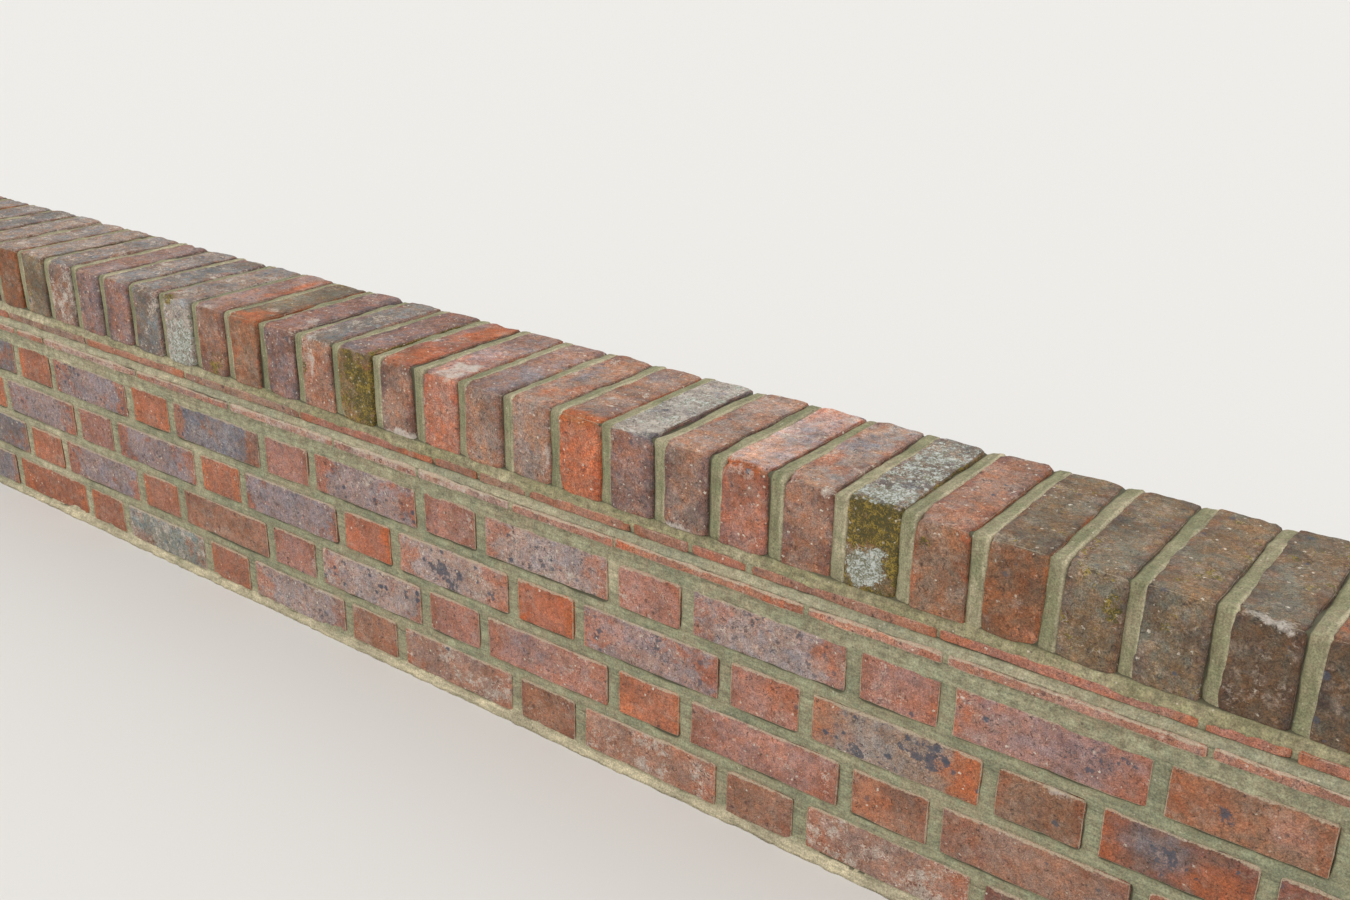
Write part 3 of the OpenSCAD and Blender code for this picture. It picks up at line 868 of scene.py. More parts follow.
def new_material(name):
    """A material with a principled shader and nothing else."""
    material = bpy.data.materials.new(name)
    material.use_nodes = True
    tree = material.node_tree
    tree.nodes.clear()
    shader = add(tree, "BsdfPrincipled")
    add(tree, "OutputMaterial", Surface=shader)
    return material, tree, shader


# How the edge of a layer rises when it is soft
SOFT = "SMOOTHSTEP"


def coat(tree, colour, over, source, start, end, most=1.0, edge="LINEAR"):
    """Lays one colour over another: none of it where a source is at start, and most of it where it is at end.
    Most is a share from 0 to 1."""
    share = add(tree, "MapRange", source, start, end, 0.0, most, interpolation_type=edge)
    return add(tree, "Mix", share, colour, over, data_type="RGBA")


def shade(tree, colour, source, start, end, dark, light):
    """Multiplies a colour by a factor that goes from dark to light while a source goes from start to end."""
    level = add(tree, "MapRange", source, start, end, dark, light)
    return add(tree, "Mix", 1.0, colour, level, data_type="RGBA", blend_type="MULTIPLY")


def dots(tree, place, cell, least, most, chance, strength):
    """Round dots in a share of the cells of a pattern, each from half to all of strength. Least and most are
    their radii, in sizes of a cell."""
    cells = add(tree, "TexVoronoi", place, Scale=1 / cell)
    pick = add(tree, "SeparateXYZ", cells.outputs["Color"])
    radius = add(tree, "MapRange", pick.outputs["Z"], 0.0, 1.0, least, most)
    near = add(tree, "Math", radius, cells.outputs["Distance"], operation="SUBTRACT")
    own = add(tree, "MapRange", pick.outputs["Y"], 0.0, 1.0, 0.5, 1.0)
    near = add(tree, "MapRange", near, -0.08, 0.06, 0.0, own)
    chosen = add(tree, "Math", pick.outputs["X"], chance, operation="LESS_THAN")
    dot = add(tree, "Math", chosen, near, operation="MULTIPLY")
    return dot if strength == 1 else add(tree, "Math", dot, strength, operation="MULTIPLY")


def surface(tree, shader, colour, height, source, rough, smooth):
    """Gives a shader its colour, its bump from a height in millimetres, and a roughness led by a source."""
    bump = add(tree, "Bump", Strength=1.0, Distance=MM, Height=height)
    tree.links.new(next(s for s in colour.outputs if s.enabled), shader.inputs["Base Color"])
    rough = add(tree, "MapRange", source, 0.3, 0.7, rough, smooth)
    tree.links.new(rough.outputs[0], shader.inputs["Roughness"])
    tree.links.new(bump.outputs[0], shader.inputs["Normal"])


# Tints of the clay where the fire left it bluer and where it left it redder
BLUER = (-0.08, 0.06, 0.19)
REDDER = (0.075, -0.055, -0.17)
# Tint of the clay where it is burnt darker
BURNT = (0.52, 0.47, 0.50)


def fired_clay(name, colours, film_colour, film_mm, grain_mm, variety=1.0, contrast=1.0):
    """Clay brick or tile, pressed in a sanded mould and fired: matt, creased and grainy, lighter and darker
    in patches, with iron spots, pale grit, salts, a film of mortar on the arrises, lichen and moss. Variety
    is how strong its broad tints are, and contrast how strong its light and dark grain is."""
    material, tree, shader = new_material(name)
    shader.inputs["IOR"].default_value = 1.5
    place = add(tree, "Attribute", attribute_name="place").outputs["Vector"]
    marks, growth, rims = (
        add(tree, "SeparateXYZ", add(tree, "Attribute", attribute_name=key).outputs["Vector"])
        for key in ("marks", "growth", "rims")
    )
    clay, flash = (add(tree, "Attribute", attribute_name=key).outputs["Color"] for key in ("clay", "flash"))
    # Noise: patches about 40 mm wide, mottling about 13 mm wide, the creases that the mould leaves about 4 mm
    # apart, clouds of salts and bloom about 30 mm wide, and sand, drawn coarser than life so that it shows
    patches = add(tree, "TexNoise", place, Scale=1 / 0.04, Detail=6.0, Roughness=0.68).outputs["Color"]
    patch = add(tree, "SeparateXYZ", patches)
    mottles = add(tree, "TexNoise", place, Scale=1 / 0.013, Detail=5.0, Roughness=0.6).outputs["Color"]
    mottle = add(tree, "SeparateXYZ", mottles)
    creases = add(tree, "TexNoise", place, Scale=1 / 0.0042, Detail=3.0, Roughness=0.6, Distortion=1.2)
    creases = creases.outputs["Color"]
    crease = add(tree, "SeparateXYZ", creases)
    clouds = add(tree, "TexNoise", place, Scale=1 / 0.03, Detail=7.0, Roughness=0.72).outputs["Fac"]
    sand = add(tree, "TexNoise", place, Scale=1 / (grain_mm * MM), Detail=1.0, Roughness=0.6).outputs["Fac"]
    # The flashed colour shows in patches and towards the ends, where the brick leant on the next in the kiln
    ends = add(tree, "MapRange", rims.outputs["Z"], 0.4, 1.0, -0.06, 0.15)
    share = add(tree, "Math", patch.outputs["X"], ends, operation="ADD")
    colour = coat(tree, clay, flash, share, 0.51, 0.64, edge=SOFT)
    # Redder and bluer in patches about 60 mm wide, broken up by the mottling
    broads = add(tree, "TexNoise", place, Scale=1 / 0.06, Detail=4.0, Roughness=0.6).outputs["Color"]
    broad = add(tree, "SeparateXYZ", broads)
    warm = add(tree, "Math", mottle.outputs["Z"], 1.5, broad.outputs["X"], operation="MULTIPLY_ADD")
    bluer, redder = (tuple(1 + part * variety for part in parts) for parts in (BLUER, REDDER))
    hue = coat(tree, bluer, redder, warm, 1.02, 1.48)
    colour = add(tree, "Mix", 1.0, colour, hue, data_type="RGBA", blend_type="MULTIPLY")
    # Burnt darker in some patches, and dusty pale in others
    burnt = add(tree, "Math", mottle.outputs["X"], 0.6, patch.outputs["Y"], operation="MULTIPLY_ADD")
    burnt = add(tree, "MapRange", burnt, 0.84, 0.96, 0.0, 0.6, interpolation_type=SOFT)
    colour = add(tree, "Mix", burnt, colour, BURNT, data_type="RGBA", blend_type="MULTIPLY")
    dusty = add(tree, "Math", mottle.outputs["Y"], 0.7, patch.outputs["Z"], operation="MULTIPLY_ADD")
    colour = coat(tree, colour, colours["dust"], dusty, 0.88, 1.04, 0.25, SOFT)
    # Bloom is a thin pale crust in ragged patches, with the brick showing between
    bloom = add(tree, "Math", crease.outputs["Y"], 0.35, clouds, operation="MULTIPLY_ADD")
    bloom = add(tree, "Math", growth.outputs["Z"], 0.50, bloom, operation="MULTIPLY_ADD")
    crust = coat(tree, colours["dust"], colours["bloom"], mottle.outputs["Z"], 0.40, 0.60)
    colour = coat(tree, colour, crust, bloom, 0.93, 1.05, 0.72, SOFT)
    # Wrinkles lie along the lines where the crease noise passes its middle value
    wrinkle = add(tree, "Math", crease.outputs["X"], 0.5, operation="SUBTRACT")
    wrinkle = add(tree, "Math", wrinkle, operation="ABSOLUTE")
    # Darker in the wrinkles, and lighter and darker with the mottling, the creases and the sand
    for source, start, end, dark, light in (
        (wrinkle, 0.0, 0.03, 0.30 * contrast, 0.05 * contrast),
        (broad.outputs["Y"], 0.32, 0.68, 0.20 * variety, 0.20 * variety),
        (patch.outputs["Y"], 0.34, 0.66, 0.15 * contrast, 0.15 * contrast),
        (mottle.outputs["X"], 0.36, 0.64, 0.14 * contrast, 0.14 * contrast),
        (crease.outputs["Y"], 0.38, 0.64, 0.21 * contrast, 0.21 * contrast),
        (sand, 0.34, 0.66, 0.24 * contrast, 0.25 * contrast),
    ):
        colour = shade(tree, colour, source, start, end, 1 - dark, 1 + light)
    # Iron spots: round dots 1 to 8 mm wide in clusters, blots where they run together, and specks
    wobble = add(tree, "VectorMath", creases, (0.5, 0.5, 0.5), operation="SUBTRACT")
    wobble = add(tree, "VectorMath", wobble, Scale=0.007, operation="SCALE")
    wobbly = add(tree, "VectorMath", place, wobble, operation="ADD")
    crowd = add(tree, "MapRange", patch.outputs["Z"], 0.34, 0.56, 0.05, 1.0)
    crowd = add(tree, "Math", crowd, marks.outputs["X"], operation="MULTIPLY")
    crowd = add(tree, "Math", crowd, marks.outputs["X"], operation="MULTIPLY")
    spot = dots(tree, wobbly, 0.011, 0.06, 0.38, crowd, 0.95)
    colour = add(tree, "Mix", spot, colour, colours["iron"], data_type="RGBA")
    blots = add(tree, "Math", patch.outputs["Z"], 0.5, mottle.outputs["Z"], operation="MULTIPLY_ADD")
    specks = crease.outputs["Z"]
    for source, least, gain, width, most in (
        (blots, 1.10, -0.30, 0.05, 0.8),
        (specks, 0.73, -0.15, 0.03, 0.75),
    ):
        limit = add(tree, "Math", marks.outputs["X"], gain, least, operation="MULTIPLY_ADD")
        spot = add(tree, "Math", source, limit, operation="SUBTRACT")
        colour = coat(tree, colour, colours["iron"], spot, 0.0, width, most, SOFT)
    # Pits 1 to 5 mm wide and the deepest creases, dark inside
    pits = add(tree, "MapRange", crease.outputs["Y"], 0.345, 0.305, 0.0, 1.0)
    holes = dots(tree, wobbly, 0.015, 0.03, 0.16, 0.40, 1)
    pits = add(tree, "Math", pits, holes, operation="MAXIMUM")
    dark = add(tree, "Math", pits, 0.8, operation="MULTIPLY")
    colour = add(tree, "Mix", dark, colour, colours["pit"], data_type="RGBA")
    # White salts in cloudy patches with ragged edges
    salt = add(tree, "Math", clouds, 1.7, marks.outputs["Y"], operation="MULTIPLY_ADD")
    salt = add(tree, "Math", crease.outputs["Y"], 0.9, salt, operation="MULTIPLY_ADD")
    colour = coat(tree, colour, colours["salts"], salt, 1.66, 2.1, 0.88)
    # A ragged film of mortar on the arrises: a pale line along those of the top, and less on the others
    sides = add(tree, "Math", rims.outputs["X"], 3.0, operation="MULTIPLY")
    away = add(tree, "Math", sides, rims.outputs["Y"], operation="MINIMUM")
    ragged = add(tree, "Math", crease.outputs["Z"], 0.5, mottle.outputs["Y"], operation="MULTIPLY_ADD")
    ragged = add(tree, "Math", broad.outputs["Z"], 0.8, ragged, operation="MULTIPLY_ADD")
    reach = add(tree, "MapRange", ragged, 0.92, 1.38, 0.2 * film_mm * MM, film_mm * MM)
    film = add(tree, "Math", reach, away, operation="SUBTRACT")
    film = add(tree, "MapRange", film, 0.0, 0.0012, 0.0, 0.85)
    film = add(tree, "Math", film, add(tree, "MapRange", sand, 0.35, 0.6, 0.55, 1.0), operation="MULTIPLY")
    colour = add(tree, "Mix", film, colour, film_colour, data_type="RGBA")
    # Lichen in crusts and moss in cushions, both with crinkled edges and bare brick between
    crinkle = add(tree, "TexNoise", place, Scale=1 / 0.010, Detail=6.0, Roughness=0.78).outputs["Fac"]
    crinkle = add(tree, "Math", crinkle, 0.6, operation="MULTIPLY")
    crinkle = add(tree, "Math", patch.outputs["Y"], 0.4, crinkle, operation="MULTIPLY_ADD")
    cushions = add(tree, "Math", sand, 0.4, crease.outputs["X"], operation="MULTIPLY_ADD")
    cushions = add(tree, "Math", mottle.outputs["Y"], 0.5, cushions, operation="MULTIPLY_ADD")
    cushions = add(tree, "MapRange", cushions, 0.87, 1.05, 0.0, 1.0)
    crusts = add(tree, "MapRange", crease.outputs["Y"], 0.42, 0.56, 0.0, 1.0)
    height = 0.0
    for kind, lot, field, proud in (("moss", "X", clouds, cushions), ("lichen", "Y", crinkle, crusts)):
        cover = add(tree, "Math", growth.outputs[lot], 0.30, field, operation="MULTIPLY_ADD")
        cover = add(tree, "Math", crease.outputs["Z"], 0.35, cover, operation="MULTIPLY_ADD")
        cover = add(tree, "MapRange", cover, 0.84, 0.90, 0.0, 0.92, interpolation_type=SOFT)
        there = add(tree, "MapRange", growth.outputs[lot], 0.0, 0.08, 0.0, 1.0)
        cover = add(tree, "Math", cover, there, operation="MULTIPLY")
        mixed = add(tree, "Mix", proud, colours[kind + "_shade"], colours[kind], data_type="RGBA")
        colour = add(tree, "Mix", cover, colour, mixed, data_type="RGBA")
        lift = add(tree, "Math", growth.outputs[lot], proud, operation="MULTIPLY")
        height = add(tree, "Math", height, lift, operation="ADD")
    # Pale grit 1 to 3 mm wide
    chance = add(tree, "Math", growth.outputs["X"], 0.3, marks.outputs["Z"], operation="MULTIPLY_ADD")
    chance = add(tree, "Math", chance, 0.55, operation="MULTIPLY")
    pale = dots(tree, wobbly, 0.006, 0.05, 0.26, chance, 0.95)
    colour = add(tree, "Mix", pale, colour, colours["grit"], data_type="RGBA")
    # Height in millimetres: sand, creases, dents about 9 mm wide and pits, over the growth
    dents = add(tree, "TexNoise", place, Scale=1 / 0.009, Detail=2.0, Roughness=0.6).outputs["Fac"]
    for source, gain in ((sand, 0.4), (crease.outputs["X"], 1.6), (dents, 1.9), (pits, -1.0)):
        height = add(tree, "Math", source, gain, height, operation="MULTIPLY_ADD")
    surface(tree, shader, colour, height, mottle.outputs["X"], 0.95, 0.8)
    return material


# Tints of mortar where it is greener with algae and where its sand shows buff
GREENER = (0.95, 1.02, 1.00)
BUFF = (1.03, 0.98, 0.93)
# How the trowel's drags are stretched along a bed, and round the joint of a coping brick
ALONG, AROUND = (0.12, 1.0, 1.0), (1.0, 0.14, 0.14)


def sand_mortar(name, colours, main, drag=1.0, lumpy=1.0, stretch=ALONG):
    """Cement and sand mortar, trowelled: khaki grey, gritty, dragged along the joint, green with algae in
    places. Main is the name of its colour, and drag and lumpy are how strong its drags and lumps are."""
    material, tree, shader = new_material(name)
    shader.inputs["IOR"].default_value = 1.5
    place = add(tree, "TexCoord").outputs["Object"]
    edges = add(tree, "SeparateXYZ", add(tree, "Attribute", attribute_name="edges").outputs["Vector"])
    # Stains about 90 mm wide, lumps about 11 mm wide, trowel drags 4 mm apart and about eight times as long,
    # and sand of 2 mm, drawn coarser than real sand so that it shows
    stains = add(tree, "TexNoise", place, Scale=1 / 0.09, Detail=5.0, Roughness=0.62).outputs["Fac"]
    lumps = add(tree, "TexNoise", place, Scale=1 / 0.011, Detail=4.0, Roughness=0.66).outputs["Color"]
    lump = add(tree, "SeparateXYZ", lumps)
    along = add(tree, "VectorMath", place, stretch, operation="MULTIPLY")
    drags = add(tree, "TexNoise", along, Scale=1 / 0.004, Detail=3.0, Roughness=0.6).outputs["Fac"]
    sand = add(tree, "TexNoise", place, Scale=1 / 0.002, Detail=3.0, Roughness=0.75).outputs["Fac"]
    stained = add(tree, "Math", lump.outputs["X"], 0.5, stains, operation="MULTIPLY_ADD")
    colour = coat(tree, colours[main], colours["mortar_stain"], stained, 0.66, 0.90, 0.8, SOFT)
    warm = add(tree, "Math", stains, 0.5, lump.outputs["X"], operation="MULTIPLY_ADD")
    hue = coat(tree, GREENER, BUFF, warm, 0.58, 0.92)
    colour = add(tree, "Mix", 1.0, colour, hue, data_type="RGBA", blend_type="MULTIPLY")
    pale = add(tree, "Math", lump.outputs["Y"], edges.outputs["Z"], operation="ADD")
    colour = coat(tree, colour, colours["lime"], pale, 0.6, 1.3)
    # Limy where the trowel pressed it over the lit edge of a brick
    lit = add(tree, "Math", lump.outputs["Y"], 6.0, edges.outputs["Y"], operation="MULTIPLY_ADD")
    colour = coat(tree, colour, colours["lime"], lit, 2.5, 5.5, 0.7)
    for source, dark, light in (
        (stains, 0.78, 1.22),
        (lump.outputs["Z"], 1 - 0.15 * lumpy, 1 + 0.13 * lumpy),
        (drags, 1 - 0.18 * drag, 1 + 0.16 * drag),
        (sand, 0.66, 1.30),
    ):
        colour = shade(tree, colour, source, 0.36, 0.64, dark, light)
    # Grains of other colours, 1 to 3 mm wide: pale, dark and brown
    for cell, chance, kind in ((0.0045, 0.07, "grit"), (0.005, 0.09, "soot_and_shadow"), (0.006, 0.05, "pit")):
        grains = dots(tree, place, cell, 0.10, 0.24, chance, 0.65)
        colour = add(tree, "Mix", grains, colour, colours[kind], data_type="RGBA")
    # Painted shade: darker and greener towards the shaded edge of a brick, partly with algae, and a dark line
    # along that edge, partly a dirty crack and partly painted shadow
    dirt_and_shade = add(tree, "Math", lump.outputs["X"], 4.0, edges.outputs["X"], operation="MULTIPLY_ADD")
    colour = coat(tree, colour, colours["algae"], dirt_and_shade, -1.0, 4.5, 0.42)
    crack_and_shadow = add(tree, "Math", sand, 3.0, edges.outputs["X"], operation="MULTIPLY_ADD")
    crack_and_shadow = add(tree, "MapRange", crack_and_shadow, 2.8, 4.6, 0.0, 0.85, interpolation_type=SOFT)
    colour = add(tree, "Mix", crack_and_shadow, colour, colours["soot_and_shadow"], data_type="RGBA")
    height = add(tree, "Math", sand, 0.45, operation="MULTIPLY")
    for source, gain in ((crack_and_shadow, -1.2), (lump.outputs["Z"], 1.6 * lumpy), (drags, 0.5 * drag)):
        height = add(tree, "Math", source, gain, height, operation="MULTIPLY_ADD")
    surface(tree, shader, colour, height, lump.outputs["Z"], 0.98, 0.86)
    return material


# Sizes and colours that a user would change


def length(name, description, millimetres, low, high):
    """A length, given in millimetres and kept in metres."""
    return bpy.props.FloatProperty(
        name=name,
        description=description,
        default=millimetres * MM,
        min=low * MM,
        max=high * MM,
        precision=5,
        unit="LENGTH",
        subtype="DISTANCE",
    )


def tint(name, description, code):
    """A colour, given as an sRGB hex code and kept linear."""
    return bpy.props.FloatVectorProperty(
        name=name, description=description, size=3, subtype="COLOR", min=0, max=1, default=linear(code)
    )


class WallSizes(bpy.types.PropertyGroup):
    """Sizes of the finish, in metres."""

    brick_step: length("Brick detail", "Distance between points on a brick's face", 5.4, 3, 20)
    arris_width: length("Worn arris", "How far a worn arris reaches into a brick's face", 2.9, 1, 12)
    arris_depth: length("Arris depth", "How far a worn arris reaches back into the wall", 2.2, 1, 12)
    face_swell: length("Face swell", "Height of the unevenness of a brick's face", 0.9, 0, 3)
    bed_flush: length("Flush edge", "Depth of a bed joint at its foot", 0.1, 0, 3)
    bed_struck: length("Struck edge", "Depth of a bed joint at its top", 1.9, 0.5, 6)
    joint_step: length("Joint detail", "Distance between points along a joint", 4.6, 2, 20)
    joint_rows: length("Joint rows", "Distance between points up a joint", 3.3, 2, 10)
    coping_recess: length("Coping joint recess", "Depth of the joints between the coping bricks", 1.2, 0.5, 6)


class WallColours(bpy.types.PropertyGroup):
    """Colours of what lies on or between the bricks."""

    mortar: tint("Mortar", "Cement and sand mortar, aged", "#979478")
    # Painted light: lighter than the mortar of the courses, to make up for the shade under the tiles
    creasing_bed: tint("Creasing bed", "Mortar of the bed under the tiles", "#a6a285")
    mortar_stain: tint("Stained mortar", "Mortar with green algae", "#888069")
    coping_mortar: tint("Coping joints", "Mortar between the coping bricks", "#898565")
    fillet: tint("Fillet", "Buff mortar of the fillet between the tiles", "#a09a81")
    coping_bed: tint("Coping bed", "Mortar of the bed under the coping", "#9a906d")
    lime: tint("Lime", "Pale smears of mortar", "#b9ae90")
    film: tint("Mortar film", "Film of mortar left on a brick's arrises", "#bfae94")
    tile_film: tint("Tile film", "Film of mortar on a tile's top arris", "#c6b69d")
    dust: tint("Dust", "Pale dust on a brick", "#a99a8b")
    bloom: tint("Bloom", "Pale crust on a weathered brick", "#bab0a4")
    iron: tint("Iron spots", "Dark spots burnt into the clay", "#4a4e59")
    # Dark brown in the pits and deepest creases of a brick, and in brown grains of the mortar
    pit: tint("Pits", "Dirt in the pits of a brick", "#4a3b36")
    grit: tint("Pale grit", "Grains of pale sand", "#dfd3c0")
    salts: tint("Salts", "White salts", "#c6bcb0")
    moss: tint("Moss", "Mustard moss", "#9c8434")
    moss_shade: tint("Moss shade", "Moss between its cushions", "#4b4622")
    lichen: tint("Lichen", "Grey lichen", "#c8cdc5")
    lichen_shade: tint("Lichen shade", "Darker lichen", "#85846c")
    # Painted shade: the dark green laid on the mortar towards a brick's shaded edge, partly algae
    algae: tint("Algae", "Green dirt on the mortar in the lee of a brick", "#6b6848")
    # Also the colour of the painted shadow line along a brick's shaded edge
    soot_and_shadow: tint("Dark grains", "Dark grains and dirty cracks in the mortar", "#4e4b3a")
    floor: tint("Floor", "Plain pale floor", "#dddbd7")
    backdrop: tint("Backdrop", "What shows past the floor, as pale as the floor in this light", "#f0eeea")


def colours_of(scene):
    """The colours of a scene's wall, by name."""
    group = scene.wall_colours
    return {name: tuple(getattr(group, name)) for name in type(group).__annotations__}


def wall_bricks():
    """For each course: the boxes of its bricks by kind, and the starts and the ends of those on the street
    side, from left to right."""
    courses = []
    for number in range(1, COURSES + 1):
        boxes = {kind: solids(f"course_{number}_{kind}") for kind in ("stretchers", "headers")}
        bricks = [box for lot in boxes.values() for box in lot]
        street = sorted((low[0], high[0]) for low, high in bricks if low[1] < NEAR - HALF_WIDTH)
        courses.append((boxes, *np.array(street).T))
    return courses


class WALL_OT_lay_bricks(bpy.types.Operator):
    """Lay the bricks of the four courses"""

    bl_idname = "garden_wall.lay_bricks"
    bl_label = "Lay the bricks"

    def execute(self, context):
        sizes, colours = context.scene.wall_sizes, colours_of(context.scene)
        clay = fired_clay("sanded_facing_brick", colours, colours["film"], film_mm=5.6, grain_mm=1.3)
        arris = np.array([sizes.arris_width, sizes.arris_depth, sizes.arris_width]) / MM
        step, swell = sizes.brick_step / MM, sizes.face_swell / MM
        for course, (boxes, starts, _) in enumerate(wall_bricks()):
            letters = COURSE_FINISHES[course]
            if len(letters) != len(starts):
                raise RuntimeError(f"course {course + 1}: {len(starts)} bricks but {len(letters)} finishes")
            for kind, slot in (("stretchers", "stretcher_brick"), ("headers", "header_brick")):
                rng = np.random.default_rng(100 + 10 * course + len(kind))
                pile = Pile()
                node = f"course_{course + 1}_{kind}"
                for low, high in boxes[kind]:
                    number = int(np.argmin(np.abs(starts - low[0])))
                    finish = WALL_FINISHES[letters[number]]
                    marks = [found[2:] for found in WALL_MARKS if found[:2] == (course + 1, number)]
                    lay_brick(pile, low, high, finish, marks, rng, step, arris, swell)
                pile.finish("laid_" + node, clay, [node], slot)
        return {"FINISHED"}


class WALL_OT_point_courses(bpy.types.Operator):
    """Point the joints of the four courses"""

    bl_idname = "garden_wall.point_courses"
    bl_label = "Point the courses"

    def execute(self, context):
        mortar = sand_mortar("struck_cement_mortar", colours_of(context.scene), "mortar")
        courses = wall_bricks()
        spans = [(starts, ends) for _, starts, ends in courses]
        end_spans = []
        for boxes, _, _ in courses:
            last = [box for lot in boxes.values() for box in lot if box[1][0] > HALF_LENGTH - NEAR]
            end_spans.append([np.sort([corner[1] for corner in corners]) for corners in zip(*last)])
        for course in range(COURSES):
            pile = Pile()
            point_course(pile, course, spans, end_spans, context.scene.wall_sizes)
            pile.finish(f"pointed_course_{course + 1}", mortar, [f"course_{course + 1}_mortar"], "mortar")
        return {"FINISHED"}


class WALL_OT_bed_tiles(bpy.types.Operator):
    """Lay the two courses of creasing tiles on their beds"""

    bl_idname = "garden_wall.bed_tiles"
    bl_label = "Lay the creasing tiles"

    def execute(self, context):
        colours = colours_of(context.scene)
        film = colours["tile_film"]
        clays = (
            fired_clay("plain_clay_tile", colours, film, film_mm=4.9, grain_mm=1.2, contrast=1.2),
            fired_clay("sheltered_clay_tile", colours, film, film_mm=1.2, grain_mm=1.2, variety=0.8),
        )
        mortar = sand_mortar("struck_bed_mortar", colours, "mortar")
        for number, course in enumerate(("lower", "upper")):
            joints = Pile()
            for side in ("front", "back"):
                rng = np.random.default_rng(300 + 10 * number + len(side))
                node = f"{course}_tiles_{side}"
                pile = Pile()
                boxes = solids(node)
                for low, high in boxes:
                    lay_tile(pile, low, high, TILE_FINISHES[number], rng)
                pile.finish("laid_" + node, clays[number], [node], "creasing_tile")
                fill_tile_joints(joints, boxes, rng)
            joints.finish(f"filled_{course}_tile_joints", mortar, [f"{course}_tile_joints"], "mortar")
        return {"FINISHED"}


# The trowelled beds. Each has its node and slot, its mortar's name, colour, drag and lumps, corner, bumps,
# sag, seed and lime, how far below its top its painted shade starts, and its profile: heights above the
# bottom and above the top of the imported bed, each with a distance out past the brickwork, in millimetres
BEDS = (
    (
        ("creasing_bed", "mortar"),
        ("creasing_bed_mortar", "creasing_bed", 1.0, 1.6),
        (4, (0.9, 0.8, 0.6), 2.0, 50, 0.2),
        1.5,
        ((-7, -4.5), (-4, -1.8), (-1.5, -0.3), (2, 0.0), (7, -0.1), (12, -0.3), (17, -0.5)),
        ((-3, -0.9), (0, -1.6)),
    ),
    (
        ("tile_fillet", "fillet_mortar"),
        ("trowelled_fillet_mortar", "fillet", 0.8, 1.2),
        (5, (0.7, 0.9, 0.6), 0.5, 60, 0.3),
        1.5,
        ((-0.5, 8.2), (1.5, 7.2), (4, 6.0), (6.5, 5.0), (9, 4.3)),
        ((-1.2, 3.9), (0.2, 3.2), (1.2, 0.5)),
    ),
    (
        ("coping_bed", "fillet_mortar"),
        ("coping_bed_mortar", "coping_bed", 0.7, 2.1),
        (4, (1.1, 1.0, 0.7), 2.0, 70, 0.3),
        0.5,
        ((-7, 0.6), (-4.5, 1.5), (-2.5, 2.2), (-0.5, 2.9), (1.5, 2.3), (4, 1.6), (7, 0.9)),
        ((-1.5, 0.0), (1, -1.2), (4, -4.5)),
    ),
)


class WALL_OT_trowel_beds(bpy.types.Operator):
    """Trowel the bed under the tiles, the fillet between them and the bed under the coping"""

    bl_idname = "garden_wall.trowel_beds"
    bl_label = "Trowel the beds and fillets"

    def execute(self, context):
        colours = colours_of(context.scene)
        step = context.scene.wall_sizes.joint_step / MM
        for (node, slot), (material, colour, drag, lumpy), shape, shade_start, lower, upper in BEDS:
            mortar = sand_mortar(material, colours, colour, drag, lumpy)
            low, high = (corner.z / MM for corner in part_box(node))
            levels = [(low + height, out) for height, out in lower]
            levels += [(high + height, out) for height, out in upper]
            pile = Pile()
            skirt(pile, levels, step, *shape, high - shade_start)
            pile.finish("trowelled_" + node, mortar, [node], slot)
        return {"FINISHED"}


class WALL_OT_set_coping(bpy.types.Operator):
    """Set the brick-on-edge coping and point its joints"""

    bl_idname = "garden_wall.set_coping"
    bl_label = "Set the coping"

    def execute(self, context):
        sizes, colours = context.scene.wall_sizes, colours_of(context.scene)
        film = colours["film"]
        clay = fired_clay(
            "weathered_coping_brick", colours, film, film_mm=1.3, grain_mm=1.4, variety=1.6, contrast=1.1
        )
        mortar = sand_mortar("coping_joint_mortar", colours, "coping_mortar", 0.8, 0.8, AROUND)
        step, swell = sizes.brick_step / MM, COPING_SWELL * sizes.face_swell / MM
        count = 0
        for group in range(1, COPING_GROUPS + 1):
            rng = np.random.default_rng(500 + group)
            pile = Pile()
            for low, high in solids(f"coping_bricks_{group}"):
                if count >= min(len(COPING_FACES), len(COPING_TOPS)):
                    raise RuntimeError("the coping has more bricks than finishes")
                set_coping_brick(pile, low, high, count, rng, step, swell)
                count += 1
            pile.finish(f"set_coping_bricks_{group}", clay, [f"coping_bricks_{group}"], "coping_brick")
            pile = Pile()
            for low, high in solids(f"coping_joints_{group}"):
                fill_coping_joint(pile, low, high, rng, step, sizes.coping_recess / MM)
            pile.finish(f"filled_coping_joints_{group}", mortar, [f"coping_joints_{group}"], "mortar")
        return {"FINISHED"}


# Where the photograph was taken from, in metres, and which ways the camera's right and its view pointed
CAMERA_PLACE = (1.4239, -1.2903, 1.0675)
CAMERA_RIGHT = (0.79843751, 0.60192804, 0.0134229)
CAMERA_AHEAD = (-0.5534222, 0.7425112, -0.37736054)
# Focal length of the camera in pixels of the photograph, and the photograph's width
CAMERA_FOCUS_PX = 1406.33
PHOTO_WIDTH_PX = 1350
SENSOR_MM = 36
# The floor reaches this many metres each way, so that its edge doesn't show in a low view
FLOOR_REACH = 400
SKY_STRENGTH = 0.74
# The lights: name, where from, strength as a share of the light at which a white surface that faces it is
# white in the render, and width in degrees
LIGHTS = (
    ("street_light", (-0.35, -0.60, 0.80), 0.42, 70),
    ("garden_light", (0.30, 0.70, 0.75), 0.16, 80),
)


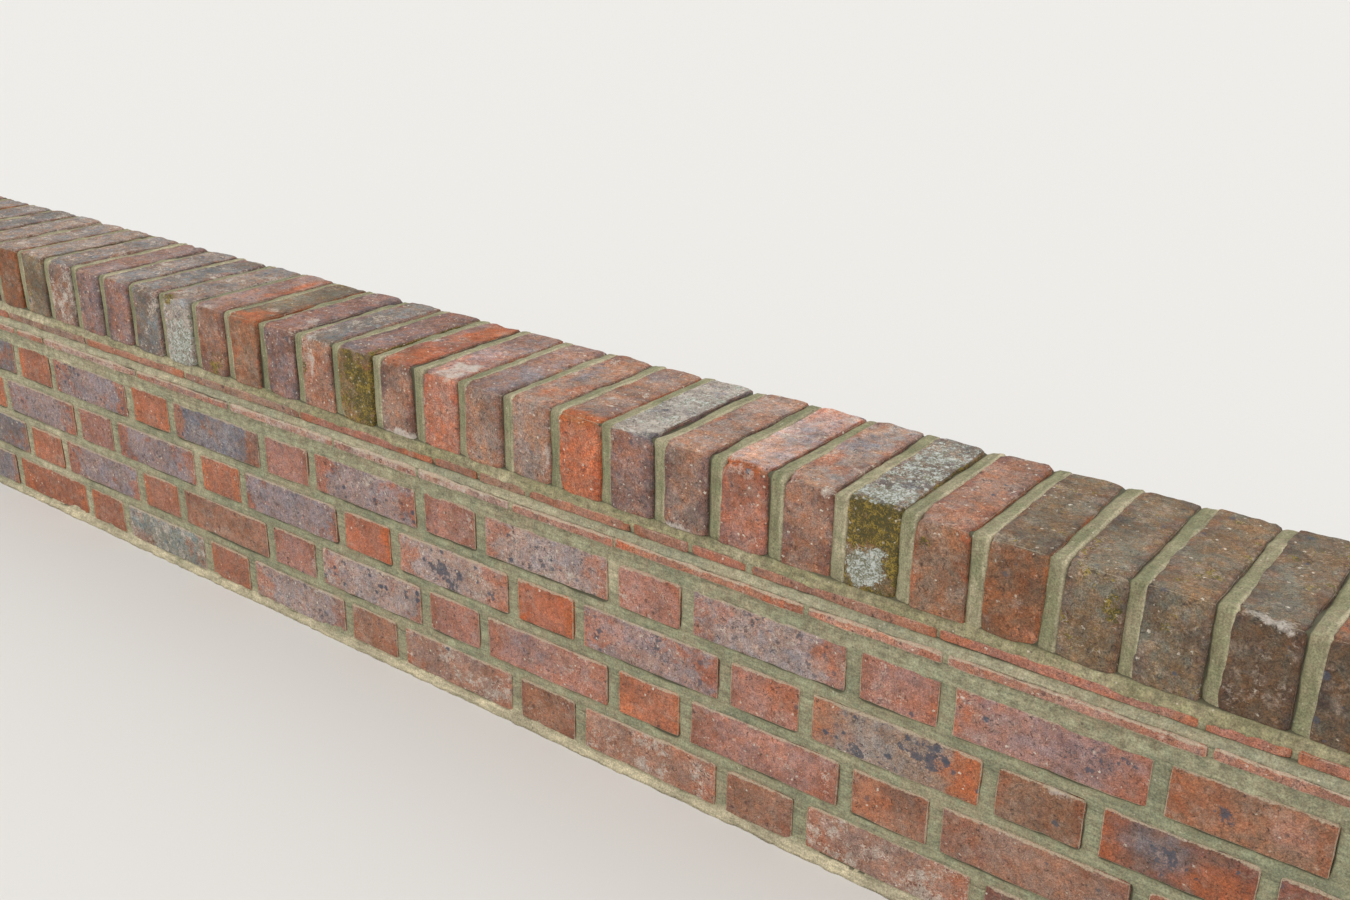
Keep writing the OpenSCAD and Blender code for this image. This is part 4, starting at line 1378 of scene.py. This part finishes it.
class WALL_OT_light_stage(bpy.types.Operator):
    """Add the floor, the soft lights and the camera"""

    bl_idname = "garden_wall.light_stage"
    bl_label = "Light the stage"

    def execute(self, context):
        scene = context.scene
        floor_mesh = bpy.data.meshes.new("floor")
        corners = [(FLOOR_REACH * x, FLOOR_REACH * y, 0) for x, y in ((-1, -1), (1, -1), (1, 1), (-1, 1))]
        floor_mesh.from_pydata(corners, [], [(0, 1, 2, 3)])
        material, tree, shader = new_material("matt_studio_floor")
        shader.inputs["Base Color"].default_value = (*scene.wall_colours.floor, 1)
        shader.inputs["Roughness"].default_value = 0.9
        floor_mesh.materials.append(material)
        floor = bpy.data.objects.new("floor", floor_mesh)
        scene.collection.objects.link(floor)
        # Broad lights without a place, so that the floor is as bright far off as near
        for name, towards, share, degrees in LIGHTS:
            light = bpy.data.lights.new(name, "SUN")
            light.energy, light.angle = share * math.pi, math.radians(degrees)
            lamp = bpy.data.objects.new(name, light)
            lamp.location = Vector(towards) * 3
            lamp.rotation_mode = "QUATERNION"
            lamp.rotation_quaternion = Vector(towards).to_track_quat("Z", "Y")
            scene.collection.objects.link(lamp)
        # The sky lights the wall, and the backdrop is what the camera sees in its place
        world = bpy.data.worlds.new("soft_sky")
        world.use_nodes = True
        tree = world.node_tree
        tree.nodes.clear()
        path = add(tree, "LightPath")
        rays = [path.outputs[f"Is {kind} Ray"] for kind in ("Camera", "Glossy", "Transmission")]
        seen = add(tree, "Math", rays[0], rays[1], operation="MAXIMUM")
        seen = add(tree, "Math", seen, rays[2], operation="MAXIMUM")
        sky = add(tree, "Background", (1.0, 1.0, 1.0), SKY_STRENGTH)
        backdrop = add(tree, "Background", tuple(scene.wall_colours.backdrop), 1.0)
        add(tree, "OutputWorld", Surface=add(tree, "MixShader", seen, sky, backdrop))
        scene.world = world
        ahead, right = Vector(CAMERA_AHEAD), Vector(CAMERA_RIGHT)
        camera = bpy.data.objects.new("camera", bpy.data.cameras.new("camera"))
        camera.data.sensor_width = SENSOR_MM
        camera.data.lens = CAMERA_FOCUS_PX / PHOTO_WIDTH_PX * SENSOR_MM
        turn = Matrix((right, right.cross(ahead), -ahead)).transposed().to_4x4()
        camera.matrix_world = Matrix.Translation(CAMERA_PLACE) @ turn
        scene.collection.objects.link(camera)
        scene.camera = camera
        scene.view_settings.view_transform = "Standard"
        return {"FINISHED"}


OPERATORS = (
    WALL_OT_lay_bricks,
    WALL_OT_point_courses,
    WALL_OT_bed_tiles,
    WALL_OT_trowel_beds,
    WALL_OT_set_coping,
    WALL_OT_light_stage,
)


class WALL_PT_finish(bpy.types.Panel):
    """Lists the sizes, the colours and the steps of the finish"""

    bl_idname = "WALL_PT_finish"
    bl_label = "Brick garden wall"
    bl_space_type = "VIEW_3D"
    bl_region_type = "UI"
    bl_category = "Garden wall"

    def draw(self, context):
        for group in (context.scene.wall_sizes, context.scene.wall_colours):
            for name in type(group).__annotations__:
                self.layout.prop(group, name)
        for operator in OPERATORS:
            self.layout.operator(operator.bl_idname)


CLASSES = (WallSizes, WallColours, *OPERATORS, WALL_PT_finish)


def register():
    for kind in CLASSES:
        bpy.utils.register_class(kind)
    bpy.types.Scene.wall_sizes = bpy.props.PointerProperty(type=WallSizes)
    bpy.types.Scene.wall_colours = bpy.props.PointerProperty(type=WallColours)


def unregister():
    del bpy.types.Scene.wall_sizes
    del bpy.types.Scene.wall_colours
    for kind in reversed(CLASSES):
        bpy.utils.unregister_class(kind)


def main():
    register()
    for operator in OPERATORS:
        group, step = operator.bl_idname.split(".")
        getattr(getattr(bpy.ops, group), step)()
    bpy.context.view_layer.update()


if __name__ == "__main__":
    main()
